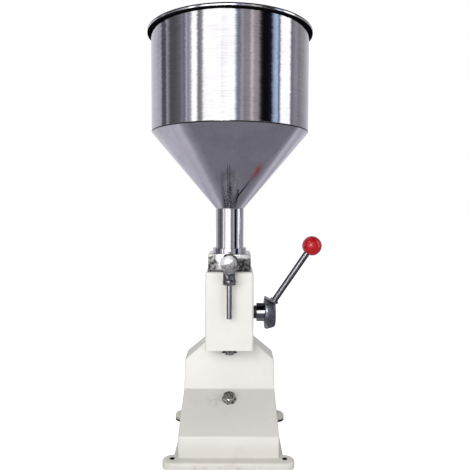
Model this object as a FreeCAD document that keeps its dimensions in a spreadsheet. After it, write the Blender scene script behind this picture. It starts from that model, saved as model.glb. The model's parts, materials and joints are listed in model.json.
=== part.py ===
"""Manual filling machine: hopper, ball valves and piston pump over a cast base.

Frame: millimetres, Z up, the front with the nozzle faces -Y, the handle stands
at +X. The origin is the centre of the base bolt pattern on the underside.
"""
import FreeCAD, Part

import math
import os
import re

import Sketcher

Vector = FreeCAD.Vector

# Driving sizes: name, millimetres (or degrees), meaning
SIZES = [
    ("plate_half_width", 85, "base plate, centre to side edge"),
    ("plate_half_depth", 100, "base plate, centre to front edge"),
    ("plate_thickness", 12, "base plate thickness"),
    ("plate_rounding", 4, "round on the base plate's upper edge"),
    ("lug_radius", 15, "corner lug of the base plate"),
    ("bolt_half_spacing_x", 86, "base bolt pattern, half spacing across"),
    ("bolt_half_spacing_y", 85, "base bolt pattern, half spacing front to back"),
    ("bolt_hole_radius", 3.5, "base bolt hole"),
    ("shell_half_width", 78, "pedestal shell, centre to side"),
    ("shell_wall", 4, "pedestal shell wall"),
    ("shell_bend", 3, "outer bend radius of the pedestal shell"),
    ("shell_back_y", 88, "rear face of the pedestal"),
    ("toe_front_y", -84, "front face of the toe"),
    ("toe_top_z", 45, "front edge of the sloping stage"),
    ("stage_end_y", 14, "back edge of the sloping stage"),
    ("stage_end_z", 84, "height of the stage's back edge"),
    ("roof_front_y", 38, "front edge of the pedestal roof"),
    ("roof_z", 160, "height of the pedestal roof"),
    ("roof_half_width", 42, "roof, centre to the shoulder"),
    ("shoulder_z", 130, "lower edge of the shoulder at the side"),
    ("notch_radius", 16, "notch for the dose screw, round the pump axis"),
    ("notch_floor_z", 141, "lowest point of that notch"),
    ("stage_bolt_y", -10, "where the stage bolt crosses the stage"),
    ("stage_bolt_radius", 6, "stage bolt shank"),
    ("stage_bolt_length", 30, "stage bolt under its head"),
    ("stage_bolt_across", 19, "stage bolt head across flats"),
    ("stage_bolt_head", 7.5, "stage bolt head height"),
    ("stage_washer_radius", 12, "stage washer"),
    ("stage_washer_thickness", 2, "stage washer thickness"),
    ("pillar_half_width", 14, "pillar under the stage, half width"),
    ("axis_y", 22, "pump and hopper axis behind the origin"),
    ("column_half_width", 40, "column housing, centre to side"),
    ("column_front_y", -20, "column housing front face"),
    ("column_back_y", 76, "column housing rear face"),
    ("column_height", 130, "column housing height"),
    ("column_wall", 3, "column housing wall"),
    ("column_rounding", 5, "column housing edge radius"),
    ("floor_thickness", 10, "column floor plate"),
    ("column_bolt_x", 26, "column bolts from the centre"),
    ("column_bolt_y", 62, "column bolts behind the origin"),
    ("column_bolt_radius", 4, "column bolt shank"),
    ("column_bolt_across", 13, "column bolt head across flats"),
    ("column_bolt_head", 5.3, "column bolt head height"),
    ("column_nut_height", 6.5, "column nut height"),
    ("column_bolt_end", 9, "thread shown below the roof"),
    ("cylinder_bore", 22, "pump cylinder bore radius"),
    ("cylinder_wall", 4, "pump cylinder wall"),
    ("cylinder_length", 50, "pump cylinder length"),
    ("cylinder_flange", 33, "pump cylinder flange, half width"),
    ("cylinder_flange_thickness", 8, "pump cylinder flange thickness"),
    ("piston_height", 12, "piston height"),
    ("piston_rest_depth", 34, "piston top below the cylinder's end at rest"),
    ("piston_screw_head", 7, "piston screw head radius"),
    ("piston_screw_head_height", 4.5, "piston screw head height"),
    ("piston_screw_radius", 4, "piston screw shank"),
    ("piston_screw_length", 20, "piston screw under its head"),
    ("piston_screw_socket", 6, "piston screw socket across flats"),
    ("piston_screw_socket_depth", 2.2, "depth of that socket"),
    ("seal_height", 2.4, "piston seal height"),
    ("seal_depth", 2.5, "piston seal groove depth"),
    ("rod_radius", 9, "piston rod"),
    ("rod_length", 66, "piston rod below the piston"),
    ("rod_spigot_radius", 7, "rod register in the piston"),
    ("rod_spigot_height", 3, "height of that register"),
    ("gear_module", 2, "rack and pinion module"),
    ("pinion_teeth", 15, "pinion teeth"),
    ("pinion_width", 14, "pinion width"),
    ("rack_pitch_offset", 4, "rack pitch line in front of the rod's centre"),
    ("rack_gaps", 9, "gaps cut in the rack"),
    ("rack_lead", 1.5, "topmost gap above the shaft, in rack pitches"),
    ("pressure_angle", 20, "rack flank angle, degrees"),
    ("flank_gap", 0.2, "clearance on each tooth flank"),
    ("tip_gap", 0.5, "tooth tip to root clearance"),
    ("shaft_rise", 60, "handle shaft above the pedestal roof"),
    ("shaft_radius", 7, "handle shaft"),
    ("shaft_inner_end", 38.5, "handle shaft end at the closed side"),
    ("bush_radius", 11, "shaft bush barrel"),
    ("bush_flange_radius", 14, "shaft bush flange"),
    ("bush_flange_width", 7, "shaft bush flange width"),
    ("bush_reach", 5, "bush beyond the column at the handle side"),
    ("ring_width", 1, "shaft retaining ring width"),
    ("ring_radius", 10, "shaft retaining ring radius"),
    ("ring_depth", 0.7, "ring groove depth"),
    ("key_width", 5, "pinion key width and height"),
    ("key_depth", 3, "key depth in the shaft"),
    ("collar_radius", 15.5, "collar between bush and hub"),
    ("collar_width", 13, "collar width"),
    ("collar_edge", 0.6, "chamfer of that collar"),
    ("hub_radius", 28, "handle hub"),
    ("hub_outer_radius", 24.5, "handle hub at its outer face"),
    ("hub_width", 18.5, "handle hub width"),
    ("hub_land", 5.5, "full radius part of the hub"),
    ("hub_rounding", 5, "round on the hub's outer edge"),
    ("hub_edge", 1.5, "round on the hub's inner edge"),
    ("hub_recess_radius", 7, "recess for the hub screw"),
    ("hub_recess_depth", 5.5, "depth of that recess"),
    ("hub_screw_radius", 3, "hub screw shank"),
    ("hub_screw_length", 15, "hub screw under its head"),
    ("hub_screw_head", 5, "hub screw head height"),
    ("hub_screw_flange", 1.7, "hub screw flange thickness"),
    ("hub_screw_neck_radius", 5.4, "hub screw head above its flange"),
    ("hub_screw_top_radius", 4, "hub screw head at its top"),
    ("hub_screw_socket", 3.9, "hub screw socket across flats"),
    ("hub_screw_socket_depth", 2.5, "depth of that socket"),
    ("cross_x", 62, "where the handle rod's line crosses the shaft axis"),
    ("rod_lean_angle", 34, "handle rod from the vertical, degrees"),
    ("handle_seat", 20.5, "slanted flat of the hub from that crossing"),
    ("handle_start", 13, "lower end of the handle rod from that crossing"),
    ("handle_radius", 5.25, "handle rod"),
    ("knob_distance", 134.8, "knob centre from that crossing"),
    ("knob_radius", 16.3, "ball knob"),
    ("knob_flat", 14.6, "knob's flat from its centre"),
    ("knob_bore_end", 5.7, "end of the knob's bore from its centre"),
    ("handle_nut_across", 17, "handle lock nut across flats"),
    ("handle_nut_height", 5, "handle lock nut height"),
    ("guide_half_width", 14, "rod guide, half width"),
    ("guide_depth", 18, "rod guide behind the rod's centre"),
    ("guide_drop", 15, "rod guide's lower face below the shaft"),
    ("guide_height", 30, "rod guide height"),
    ("bracket_wall", 5, "guide bracket wall"),
    ("block_half_width", 35, "valve block, half width"),
    ("block_height", 28.5, "valve block height"),
    ("block_edge", 0.8, "chamfer of the valve block"),
    ("block_screw_spacing", 27, "block screws from the pump axis"),
    ("block_screw_radius", 3, "block screw shank"),
    ("block_screw_head", 5, "block screw head radius"),
    ("block_screw_head_height", 6, "block screw head height"),
    ("block_screw_socket", 5, "block screw socket across flats"),
    ("block_screw_socket_depth", 3, "depth of that socket"),
    ("cage_radius", 11, "suction ball chamber"),
    ("retainer_thickness", 2, "spring retainer thickness"),
    ("retainer_port_radius", 2.6, "ports in the spring retainer"),
    ("retainer_port_offset", 7, "those ports from the axis"),
    ("seat_radius", 20, "suction seat disc"),
    ("seat_thickness", 2.5, "suction seat thickness"),
    ("seat_bore", 5, "suction seat bore"),
    ("suction_ball_radius", 7, "suction ball"),
    ("suction_spring_radius", 4.5, "suction spring mean radius"),
    ("suction_spring_wire", 0.8, "suction spring wire diameter"),
    ("ball_gap", 0.1, "ball under its seat"),
    ("spring_turns", 4, "turns of each valve spring"),
    ("collar_spigot_height", 6, "neck collar below the block's top"),
    ("collar_spigot_wall", 5, "neck collar spigot wall"),
    ("neck_collar_radius", 28.25, "neck collar"),
    ("neck_collar_height", 9, "neck collar above the block"),
    ("neck_seat", 2, "neck tube's seat above the block"),
    ("neck_seal_radius", 25, "neck seal outer radius"),
    ("neck_seal_width", 2, "neck seal width"),
    ("neck_seal_height", 1.2, "neck seal height"),
    ("cylinder_seal_height", 1.2, "cylinder seal height"),
    ("cylinder_seal_inset", 1.2, "cylinder seal from the bore"),
    ("cylinder_seal_width", 2.2, "cylinder seal width"),
    ("neck_radius", 23.6, "hopper neck outer radius"),
    ("neck_length", 73.8, "length of the hopper's neck tube"),
    ("bowl_radius", 130, "hopper outer radius"),
    ("cone_height", 124.5, "hopper cone height"),
    ("bowl_height", 163, "hopper cylinder height"),
    ("hopper_wall", 1.5, "hopper sheet"),
    ("rim_width", 6, "rim bead beyond the bowl"),
    ("rim_height", 8.5, "rim bead height"),
    ("rim_rounding", 4, "rim bead edge radius"),
    ("port_height", 14, "discharge port above the block's underside"),
    ("port_radius", 4, "discharge port"),
    ("flange_radius", 14, "discharge flange"),
    ("flange_thickness", 4, "discharge flange thickness"),
    ("flange_spigot_radius", 7, "discharge flange spigot in the block"),
    ("flange_spigot_length", 10, "length of that spigot"),
    ("flange_tube_radius", 8, "discharge flange tube in the cap"),
    ("flange_tube_length", 7, "length of that tube"),
    ("cap_reach", 22, "discharge cap's centre in front of the block"),
    ("cap_rise", 3, "that centre above the port"),
    ("cap_radius", 14.75, "discharge cap"),
    ("cap_neck_radius", 8, "discharge cap's threaded neck"),
    ("cap_neck_length", 26, "cap centre to the neck's lower end"),
    ("cap_seat_drop", 7, "discharge ball seat below the port"),
    ("cap_seat_bore", 3.5, "bore of that seat"),
    ("cap_chamber_radius", 6.2, "discharge ball chamber"),
    ("discharge_ball_radius", 4.8, "discharge ball"),
    ("discharge_spring_radius", 3.4, "discharge spring mean radius"),
    ("discharge_spring_wire", 0.7, "discharge spring wire diameter"),
    ("nozzle_seal_thickness", 1, "nozzle seal"),
    ("nozzle_seal_bore", 2.8, "nozzle seal bore"),
    ("nozzle_flange_thickness", 3, "nozzle tube flange thickness"),
    ("nut_across", 18.9, "nozzle nut across flats"),
    ("nut_hex_height", 10, "nozzle nut hexagon height"),
    ("nut_skirt_radius", 10.7, "nozzle nut skirt"),
    ("nut_skirt_height", 7.6, "nozzle nut skirt height"),
    ("nut_floor", 5, "nozzle nut floor thickness"),
    ("nozzle_radius", 4.1, "nozzle tube"),
    ("nozzle_wall", 1, "nozzle tube wall"),
    ("nozzle_length", 55.5, "nozzle tube below its nut"),
    ("nozzle_root_radius", 4.6, "nozzle tube where the nut holds it"),
    ("nozzle_root_drop", 1, "thicker root below the nut"),
    ("dose_radius", 6, "dose screw"),
    ("dose_head_drop", 18.5, "underside of the dose screw's head below the roof"),
    ("dose_head_across", 14, "dose screw head across flats"),
    ("dose_head_height", 7, "dose screw head height"),
    ("dose_head_edge", 0.8, "chamfer of that head"),
    ("dose_point", 0.75, "chamfer of the dose screw's upper end"),
    ("dose_nut_across", 19, "dose lock nut across flats"),
    ("dose_nut_height", 6, "dose lock nut height"),
    ("seat_gap", 0.3, "clearance between parts that nearly touch"),
    ("fit_gap", 0.05, "radial clearance of running fits and threads"),
    ("cut_reach", 1, "how far a cut runs on past the face it opens"),
]
NAMES = {name for name, value, meaning in SIZES}

# Places that follow from the driving sizes, as expressions
COLUMN_TOP = "(roof_z + column_height)"
CYLINDER_RADIUS = "(cylinder_bore + cylinder_wall)"
CYLINDER_END = f"({COLUMN_TOP} - cylinder_length)"
CYLINDER_SEAL_IN = "(cylinder_bore + cylinder_seal_inset)"
CYLINDER_SEAL_OUT = f"({CYLINDER_SEAL_IN} + cylinder_seal_width)"
FLANGE_TOP = f"({COLUMN_TOP} - column_wall)"
FLANGE_LOW = f"({FLANGE_TOP} - cylinder_flange_thickness)"
BLOCK_TOP = f"({COLUMN_TOP} + block_height)"
PORT_Z = f"({COLUMN_TOP} + port_height)"
SEAT_TOP = f"({BLOCK_TOP} - collar_spigot_height)"
SEAT_LOW = f"({SEAT_TOP} - seat_thickness)"
SUCTION_BALL_Z = f"({SEAT_LOW} - ball_gap - sqrt(suction_ball_radius^2 - seat_bore^2))"
CAP_Z = f"({PORT_Z} + cap_rise)"
CAP_NECK_END = f"({CAP_Z} - cap_neck_length)"
CAP_SEAT = f"({PORT_Z} - cap_seat_drop)"
DISCHARGE_BALL_Z = f"({CAP_SEAT} - ball_gap - sqrt(discharge_ball_radius^2 - cap_seat_bore^2))"
RETAINER_TOP = f"({COLUMN_TOP} + retainer_thickness)"
PISTON_TOP = f"({COLUMN_TOP} - piston_rest_depth)"
PISTON_LOW = f"({PISTON_TOP} - piston_height)"
ROD_LOW = f"({PISTON_LOW} - rod_length)"
PITCH_RADIUS = "(gear_module * pinion_teeth / 2)"
RACK_PITCH_Y = "(axis_y - rack_pitch_offset)"
SHAFT_Y = f"({RACK_PITCH_Y} - {PITCH_RADIUS})"
SHAFT_Z = "(roof_z + shaft_rise)"
GUIDE_LOW = f"({SHAFT_Z} - guide_drop)"
BLOCK_FRONT = "(axis_y - block_half_width)"
CAP_Y = f"({BLOCK_FRONT} - cap_reach)"
BUSH_INNER = "(column_half_width - column_wall - bush_flange_width)"
BUSH_OUTER = "(column_half_width + bush_reach)"
COLLAR_START = f"({BUSH_OUTER} + seat_gap)"
HUB_START = f"({COLLAR_START} + collar_width)"
HUB_END = f"({HUB_START} + hub_width)"
HUB_RECESS = f"({HUB_END} - hub_recess_depth)"
SHAFT_OUTER_END = f"({HUB_RECESS} - seat_gap)"
STAGE_SLOPE = "((stage_end_z - toe_top_z) / (stage_end_y - toe_front_y))"
STAGE_ANGLE = f"atan({STAGE_SLOPE})"
STAGE_BOLT_Z = f"(toe_top_z + (stage_bolt_y - toe_front_y) * {STAGE_SLOPE})"
NECK_TOP = f"({BLOCK_TOP} + neck_seat + neck_length)"
CONE_TOP = f"({NECK_TOP} + cone_height)"
BOWL_TOP = f"({CONE_TOP} + bowl_height)"
WALL_SHIFT = "(hopper_wall * tan(atan((bowl_radius - neck_radius) / cone_height) / 2))"
NOZZLE_SEAL_LOW = f"({CAP_NECK_END} - nozzle_seal_thickness)"
NOZZLE_FLANGE_LOW = f"({NOZZLE_SEAL_LOW} - nozzle_flange_thickness)"
NUT_LOW = f"({NOZZLE_FLANGE_LOW} - nut_floor)"
NOZZLE_TIP = f"({NUT_LOW} - nozzle_length)"
DOSE_TOP = f"({ROD_LOW} - seat_gap)"
DOSE_LOW = "(roof_z - dose_head_drop)"

doc = FreeCAD.newDocument("filling_machine")


def make_sheet():
    """The spreadsheet that holds every driving size under its own alias."""
    sheet = doc.addObject("Spreadsheet::Sheet", "dims")
    for row, (name, value, meaning) in enumerate(SIZES, start=1):
        sheet.set(f"A{row}", str(value))
        sheet.setAlias(f"A{row}", name)
        sheet.set(f"B{row}", meaning)
    doc.recompute()
    return sheet


def bound(text):
    """The expression with each size name led by the sheet's name."""
    return re.sub(r"[a-z][a-z_0-9]*", lambda m: "dims." + m[0] if m[0] in NAMES else m[0], text)


def number(text):
    """The present value of an expression over the sheet."""
    value = sheet.evalExpression(bound(text))
    return float(getattr(value, "Value", value))


def bind(thing, **properties):
    """Bind properties to expressions; a double underscore stands for a dot."""
    for name, text in properties.items():
        thing.setExpression(name.replace("__", "."), bound(text))


def place(thing, x="0", y="0", z="0", turn_axis=None, turn="0 deg"):
    """Put an object at bound coordinates, turned about one axis by a bound angle."""
    if turn_axis is not None:
        rotation = FreeCAD.Rotation(turn_axis, number(turn))
        thing.Placement = FreeCAD.Placement(Vector(0, 0, 0), rotation)
        thing.setExpression("Placement.Rotation.Angle", bound(turn))
    bind(thing, Placement__Base__x=x, Placement__Base__y=y, Placement__Base__z=z)


def new_body(label):
    body = doc.addObject("PartDesign::Body", label)
    body.Label = label
    body.AllowCompound = True
    return body


def pin_point(sketch, shape_index, point_index, spot):
    """Tie one sketch point to bound coordinates from the sketch's origin."""
    for kind, text in zip(("DistanceX", "DistanceY"), spot):
        rule = Sketcher.Constraint(kind, -1, 1, shape_index, point_index, number(text))
        index = sketch.addConstraint(rule)
        sketch.setExpression(f"Constraints[{index}]", bound(text))


def draw_outline(sketch, spots):
    """A closed outline of straight lines through bound points."""
    first = sketch.GeometryCount
    count = len(spots)
    corners = [Vector(number(u), number(v), 0) for u, v in spots]
    for i in range(count):
        sketch.addGeometry(Part.LineSegment(corners[i], corners[(i + 1) % count]), False)
    for i in range(count):
        follower = first + (i + 1) % count
        sketch.addConstraint(Sketcher.Constraint("Coincident", first + i, 2, follower, 1))
    for i in range(count):
        pin_point(sketch, first + i, 1, spots[i])


def draw_disc(sketch, u, v, radius):
    """A circle with bound centre and radius."""
    circle = Part.Circle(Vector(number(u), number(v), 0), Vector(0, 0, 1), number(radius))
    index = sketch.addGeometry(circle, False)
    rule = sketch.addConstraint(Sketcher.Constraint("Radius", index, number(radius)))
    sketch.setExpression(f"Constraints[{rule}]", bound(radius))
    pin_point(sketch, index, 3, (u, v))


def add_sketch(body, name, role, level="0", outlines=(), discs=()):
    """A sketch on the body's own plane, moved along the plane's normal."""
    sketch = body.newObject("Sketcher::SketchObject", f"{body.Name}_{name}")
    plane = next(f for f in body.Origin.OriginFeatures if f.Role == role)
    sketch.AttachmentSupport = [(plane, "")]
    sketch.MapMode = "FlatFace"
    bind(sketch, AttachmentOffset__Base__z=level)
    for spots in outlines:
        draw_outline(sketch, spots)
    for u, v, radius in discs:
        draw_disc(sketch, u, v, radius)
    doc.recompute()
    return sketch


def feature(body, kind, name, sketch, length, both=False, reverse=False):
    """A pad or a pocket of one sketch."""
    made = body.newObject(f"PartDesign::{kind}", f"{body.Name}_{name}")
    made.Profile = sketch
    bind(made, Length=length)
    made.Reversed = reverse
    if both:
        made.Midplane = True
    doc.recompute()
    return made


def pad(body, name, role, length, level="0", outlines=(), discs=(), both=False, reverse=False):
    sketch = add_sketch(body, name + "_sketch", role, level, outlines, discs)
    return feature(body, "Pad", name, sketch, length, both, reverse)


def pocket(body, name, role, length, level="0", outlines=(), discs=(), both=False, reverse=False):
    """A pocket that has to take material away."""
    before = body.Shape.Volume
    sketch = add_sketch(body, name + "_sketch", role, level, outlines, discs)
    made = feature(body, "Pocket", name, sketch, length, both, reverse)
    if made.Shape.Volume > before - 0.01:
        raise RuntimeError(f"{body.Label}: {name} cuts nothing")
    return made


def revolve(body, name, role, axis, spots, kind="Revolution"):
    """A turned profile about the sketch's horizontal or vertical axis."""
    sketch = add_sketch(body, name + "_sketch", role, outlines=[spots])
    made = body.newObject(f"PartDesign::{kind}", f"{body.Name}_{name}")
    made.Profile = sketch
    made.ReferenceAxis = (sketch, [axis])
    made.Angle = 360
    doc.recompute()
    return made


def turned_z(label, spots, y="axis_y"):
    """A turned piece on a vertical axis; spots are radius, height."""
    body = new_body(label)
    revolve(body, "turn", "XZ_Plane", "V_Axis", spots)
    place(body, y=y)
    return body


def turned_x(label, spots):
    """A turned piece on the handle shaft's axis; spots are x, radius."""
    body = new_body(label)
    revolve(body, "turn", "XZ_Plane", "H_Axis", spots)
    place(body, y=SHAFT_Y, z=SHAFT_Z)
    return body


def ring_z(label, inner, outer, low, high, y="axis_y"):
    spots = [(inner, low), (outer, low), (outer, high), (inner, high)]
    return turned_z(label, spots, y)


def rectangle(u_low, u_high, v_low, v_high):
    return [(u_low, v_low), (u_high, v_low), (u_high, v_high), (u_low, v_high)]


def hexagon(across, u="0", v="0"):
    """Corners of a hexagon with the given width across flats."""
    flat = f"({across}) / 2"
    corner = f"({across}) / sqrt(3)"
    signs = [("1", "0"), ("0.5", "1"), ("-0.5", "1"), ("-1", "0"), ("-0.5", "-1"), ("0.5", "-1")]
    return [(f"({u}) + {a} * {corner}", f"({v}) + {b} * {flat}") for a, b in signs]


def edges_where(shape, test):
    """Names of the edges whose middle and ends pass a test."""
    names = []
    for index, edge in enumerate(shape.Edges, start=1):
        middle = edge.valueAt((edge.FirstParameter + edge.LastParameter) / 2)
        if test(edge, middle):
            names.append(f"Edge{index}")
    return names


def dress(body, kind, name, base, test, size):
    """Fillet or chamfer the edges of a feature that pass a test."""
    names = edges_where(base.Shape, test)
    made = body.newObject(f"PartDesign::{kind}", f"{body.Name}_{name}")
    made.Base = (base, names)
    bind(made, **{"Radius" if kind == "Fillet" else "Size": size})
    doc.recompute()
    return made


def hollow(body, base, test, wall):
    """Shell a feature inwards, open at the face that passes a test."""
    names = [f"Face{i}" for i, face in enumerate(base.Shape.Faces, start=1) if test(face)]
    made = body.newObject("PartDesign::Thickness", f"{body.Name}_shell")
    made.Base = (base, names)
    made.Reversed = True
    made.Join = 1
    bind(made, Value=wall)
    doc.recompute()
    return made


def near(a, b, tolerance=0.01):
    return abs(a - b) < tolerance


def spans(edge, radius):
    """Whether a ring edge has this radius."""
    box = edge.BoundBox
    return near(max(box.XLength, box.YLength, box.ZLength), 2 * number(radius), 0.05)


def base_plate():
    """Cast plate with four corner lugs, rounded upper edge and bolt holes."""
    body = new_body("base_plate")
    w, d = "plate_half_width", "plate_half_depth"
    slab = rectangle(f"-{w}", w, f"-{d}", d)
    pad(body, "slab", "XY_Plane", "plate_thickness", outlines=[slab])
    corners = [(sx, sy) for sx in ("-", "") for sy in ("-", "")]
    spots = [(f"{sx}bolt_half_spacing_x", f"{sy}bolt_half_spacing_y") for sx, sy in corners]
    for index, (x, y) in enumerate(spots, start=1):
        pad(body, f"lug{index}", "XY_Plane", "plate_thickness", discs=[(x, y, "lug_radius")])
    top = number("plate_thickness")
    dress(body, "Fillet", "rounding", body.Tip,
          lambda edge, middle: near(middle.z, top), "plate_rounding")
    holes = [(x, y, "bolt_hole_radius") for x, y in spots]
    pocket(body, "holes", "XY_Plane", "plate_thickness", level="plate_thickness", discs=holes)


def pedestal_shell():
    """Folded steel shell: toe, sloping stage, leaning face, shouldered roof."""
    body = new_body("pedestal_shell")
    side = [("toe_front_y", "plate_thickness"), ("shell_back_y", "plate_thickness"),
            ("shell_back_y", "roof_z"), ("roof_front_y", "roof_z"),
            ("stage_end_y", "stage_end_z"), ("toe_front_y", "toe_top_z")]
    pad(body, "profile", "YZ_Plane", "2 * shell_half_width", outlines=[side], both=True)
    far = "2 * shell_back_y"
    for name, sign in (("left_shoulder", "-"), ("right_shoulder", "")):
        corner = [(f"{sign}roof_half_width", "roof_z"), (f"{sign}shell_half_width", "roof_z"),
                  (f"{sign}shell_half_width", "shoulder_z")]
        cut = pocket(body, name, "XZ_Plane", far, outlines=[corner], both=True)
    floor = number("plate_thickness")
    shell = hollow(body, cut, lambda face: near(face.CenterOfMass.z, floor), "shell_wall")
    outer = outer_bends(shell.Shape)
    dress(body, "Fillet", "bends", shell, lambda edge, middle: outer(edge, middle), "shell_bend")
    notch = [("0", "axis_y", "notch_radius")]
    pocket(body, "notch", "XY_Plane", "roof_z - notch_floor_z", level="roof_z", discs=notch)
    bolts = column_bolt_discs("column_bolt_radius + seat_gap")
    pocket(body, "bolt_holes", "XY_Plane", "shell_wall + 2 * cut_reach", level="roof_z + cut_reach",
           discs=bolts)
    drilled(body, "pedestal_shell", "stage_bolt_radius + seat_gap")


def outer_bends(shape):
    """A test for the outer convex edges of the pedestal shell above its foot."""
    half = number("shell_half_width")
    floor = number("plate_thickness")
    stage_end = (number("stage_end_y"), number("stage_end_z"))
    roof_half, roof, shoulder = number("roof_half_width"), number("roof_z"), number("shoulder_z")

    def on_skin(p):
        slope = (p.z - shoulder) / (roof - shoulder)
        limit = half + (roof_half - half) * max(0.0, slope)
        at_side = near(abs(p.x), limit, 0.05)
        at_toe = near(p.y, number("toe_front_y"), 0.05)
        at_back = near(p.y, number("shell_back_y"), 0.05)
        at_roof = near(p.z, roof, 0.05)
        at_stage = near(p.z, number("toe_top_z"), 0.05)
        return sum((at_side, at_toe, at_back, at_roof, at_stage))

    def test(edge, middle):
        inner_corner = near(middle.y, stage_end[0]) and near(middle.z, stage_end[1])
        ends = [vertex.Point for vertex in edge.Vertexes]
        foot = all(near(p.z, floor) for p in ends)
        skin = all(on_skin(p) >= 1 for p in ends + [middle])
        return skin and not inner_corner and not foot

    return test


def drilled(body, label, radius):
    """The body with the stage bolt's hole drilled square to the stage."""
    body.Label = f"{label}_blank"
    drill = doc.addObject("Part::Cylinder", f"{label}_drill")
    bind(drill, Radius=radius, Height="2 * stage_bolt_length")
    reach = "(stage_bolt_length + seat_gap)"
    place(drill, y=f"stage_bolt_y + {reach} * sin({STAGE_ANGLE})",
          z=f"{STAGE_BOLT_Z} - {reach} * cos({STAGE_ANGLE})", turn_axis=Vector(1, 0, 0), turn=STAGE_ANGLE)
    cut = doc.addObject("Part::Cut", label + "_cut")
    cut.Label = label
    cut.Base = body
    cut.Tool = drill


def stage_pillar():
    """Steel pillar under the stage that takes the stage bolt's thread."""
    body = new_body("stage_pillar")
    under = f"(shell_wall / cos({STAGE_ANGLE}) + fit_gap)"
    front = "stage_bolt_y - pillar_half_width"
    back = "stage_bolt_y + pillar_half_width"

    def top(y):
        return f"toe_top_z + ({y} - toe_front_y) * {STAGE_SLOPE} - {under}"

    side = [(front, "plate_thickness"), (back, "plate_thickness"), (back, top(back)), (front, top(front))]
    pad(body, "bar", "YZ_Plane", "2 * pillar_half_width", outlines=[side], both=True)
    drilled(body, "stage_pillar", "stage_bolt_radius + fit_gap")


def tilt_to_stage(body):
    place(body, y="stage_bolt_y", z=STAGE_BOLT_Z, turn_axis=Vector(1, 0, 0), turn=STAGE_ANGLE)


def stage_bolt():
    """Hexagon bolt square to the stage, with its washer as a piece of its own."""
    washer = new_body("stage_washer")
    discs = [("0", "0", "stage_washer_radius"), ("0", "0", "stage_bolt_radius + seat_gap")]
    pad(washer, "disc", "XY_Plane", "stage_washer_thickness", discs=discs)
    tilt_to_stage(washer)
    bolt = new_body("stage_bolt")
    head_level = "stage_washer_thickness"
    pad(bolt, "head", "XY_Plane", "stage_bolt_head", level=head_level,
        outlines=[hexagon("stage_bolt_across")])
    pad(bolt, "shank", "XY_Plane", "stage_bolt_length", level=head_level,
        discs=[("0", "0", "stage_bolt_radius")], reverse=True)
    tilt_to_stage(bolt)


def column_bolt_discs(radius):
    return [(f"{sign}column_bolt_x", "column_bolt_y", radius) for sign in ("-", "")]


def column_housing():
    """Sheet steel box, open below, with a round opening for the pump cylinder."""
    body = new_body("column_housing")
    box = rectangle("-column_half_width", "column_half_width", "column_front_y", "column_back_y")
    block = pad(body, "box", "XY_Plane", "column_height", level="roof_z", outlines=[box])
    low, high = number("roof_z"), number(COLUMN_TOP)
    shell = hollow(body, block, lambda face: near(face.CenterOfMass.z, low), "column_wall")
    half, front, back = number("column_half_width"), number("column_front_y"), number("column_back_y")

    def corner(edge, middle):
        at_side = near(abs(middle.x), half)
        at_end = near(middle.y, front) or near(middle.y, back)
        return (at_side and at_end) or (near(middle.z, high) and (at_side or at_end))

    dress(body, "Fillet", "bends", shell, corner, "column_rounding")
    pump = [("0", "axis_y", f"{CYLINDER_RADIUS} + fit_gap")]
    screws = block_screw_discs("block_screw_radius + seat_gap")
    pocket(body, "top_openings", "XY_Plane", "column_wall + 2 * cut_reach",
           level=f"{COLUMN_TOP} + cut_reach", discs=pump + screws)
    bush = [(SHAFT_Y, SHAFT_Z, "bush_radius + fit_gap")]
    pocket(body, "bush_holes", "YZ_Plane", "4 * column_half_width", discs=bush, both=True)


def column_floor():
    """Thick plate welded into the column's foot, tapped for the dose screw."""
    body = new_body("column_floor")
    inset = "(column_wall + seat_gap)"
    plate = rectangle(f"-column_half_width + {inset}", f"column_half_width - {inset}",
                      f"column_front_y + {inset}", f"column_back_y - {inset}")
    discs = [("0", "axis_y", "dose_radius + fit_gap")]
    discs += column_bolt_discs("column_bolt_radius + seat_gap")
    pad(body, "plate", "XY_Plane", "floor_thickness", level="roof_z", outlines=[plate], discs=discs)


def column_bolts():
    """Two bolts that hold the column's floor to the roof, and their nuts."""
    floor_top = "roof_z + floor_thickness"
    under_roof = "roof_z - shell_wall"
    bolts = new_body("column_bolts")
    heads = [hexagon("column_bolt_across", f"{s}column_bolt_x", "column_bolt_y") for s in ("-", "")]
    pad(bolts, "heads", "XY_Plane", "column_bolt_head", level=floor_top, outlines=heads)
    pad(bolts, "shanks", "XY_Plane", "floor_thickness + shell_wall + column_bolt_end",
        level=floor_top, discs=column_bolt_discs("column_bolt_radius"), reverse=True)
    nuts = new_body("column_nuts")
    bores = column_bolt_discs("column_bolt_radius + fit_gap")
    pad(nuts, "nuts", "XY_Plane", "column_nut_height", level=under_roof,
        outlines=heads, discs=bores, reverse=True)


def dose_screw():
    """Hexagon screw under the piston rod that sets the dose, and its lock nut."""
    body = new_body("dose_screw")
    head = pad(body, "head", "XY_Plane", "dose_head_height", level=DOSE_LOW,
               outlines=[hexagon("dose_head_across", "0", "axis_y")])
    low, top = number(DOSE_LOW), number(DOSE_TOP)
    dress(body, "Chamfer", "head_edge", head,
          lambda edge, middle: near(middle.z, low), "dose_head_edge")
    shank = [("0", "axis_y", "dose_radius")]
    pad(body, "shank", "XY_Plane", f"{DOSE_TOP} - {DOSE_LOW}", level=DOSE_LOW, discs=shank)
    dress(body, "Chamfer", "point", body.Tip,
          lambda edge, middle: near(middle.z, top), "dose_point")
    nut = new_body("dose_lock_nut")
    pad(nut, "nut", "XY_Plane", "dose_nut_height", level="roof_z",
        outlines=[hexagon("dose_nut_across", "0", "axis_y")],
        discs=[("0", "axis_y", "dose_radius + fit_gap")], reverse=True)


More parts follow.
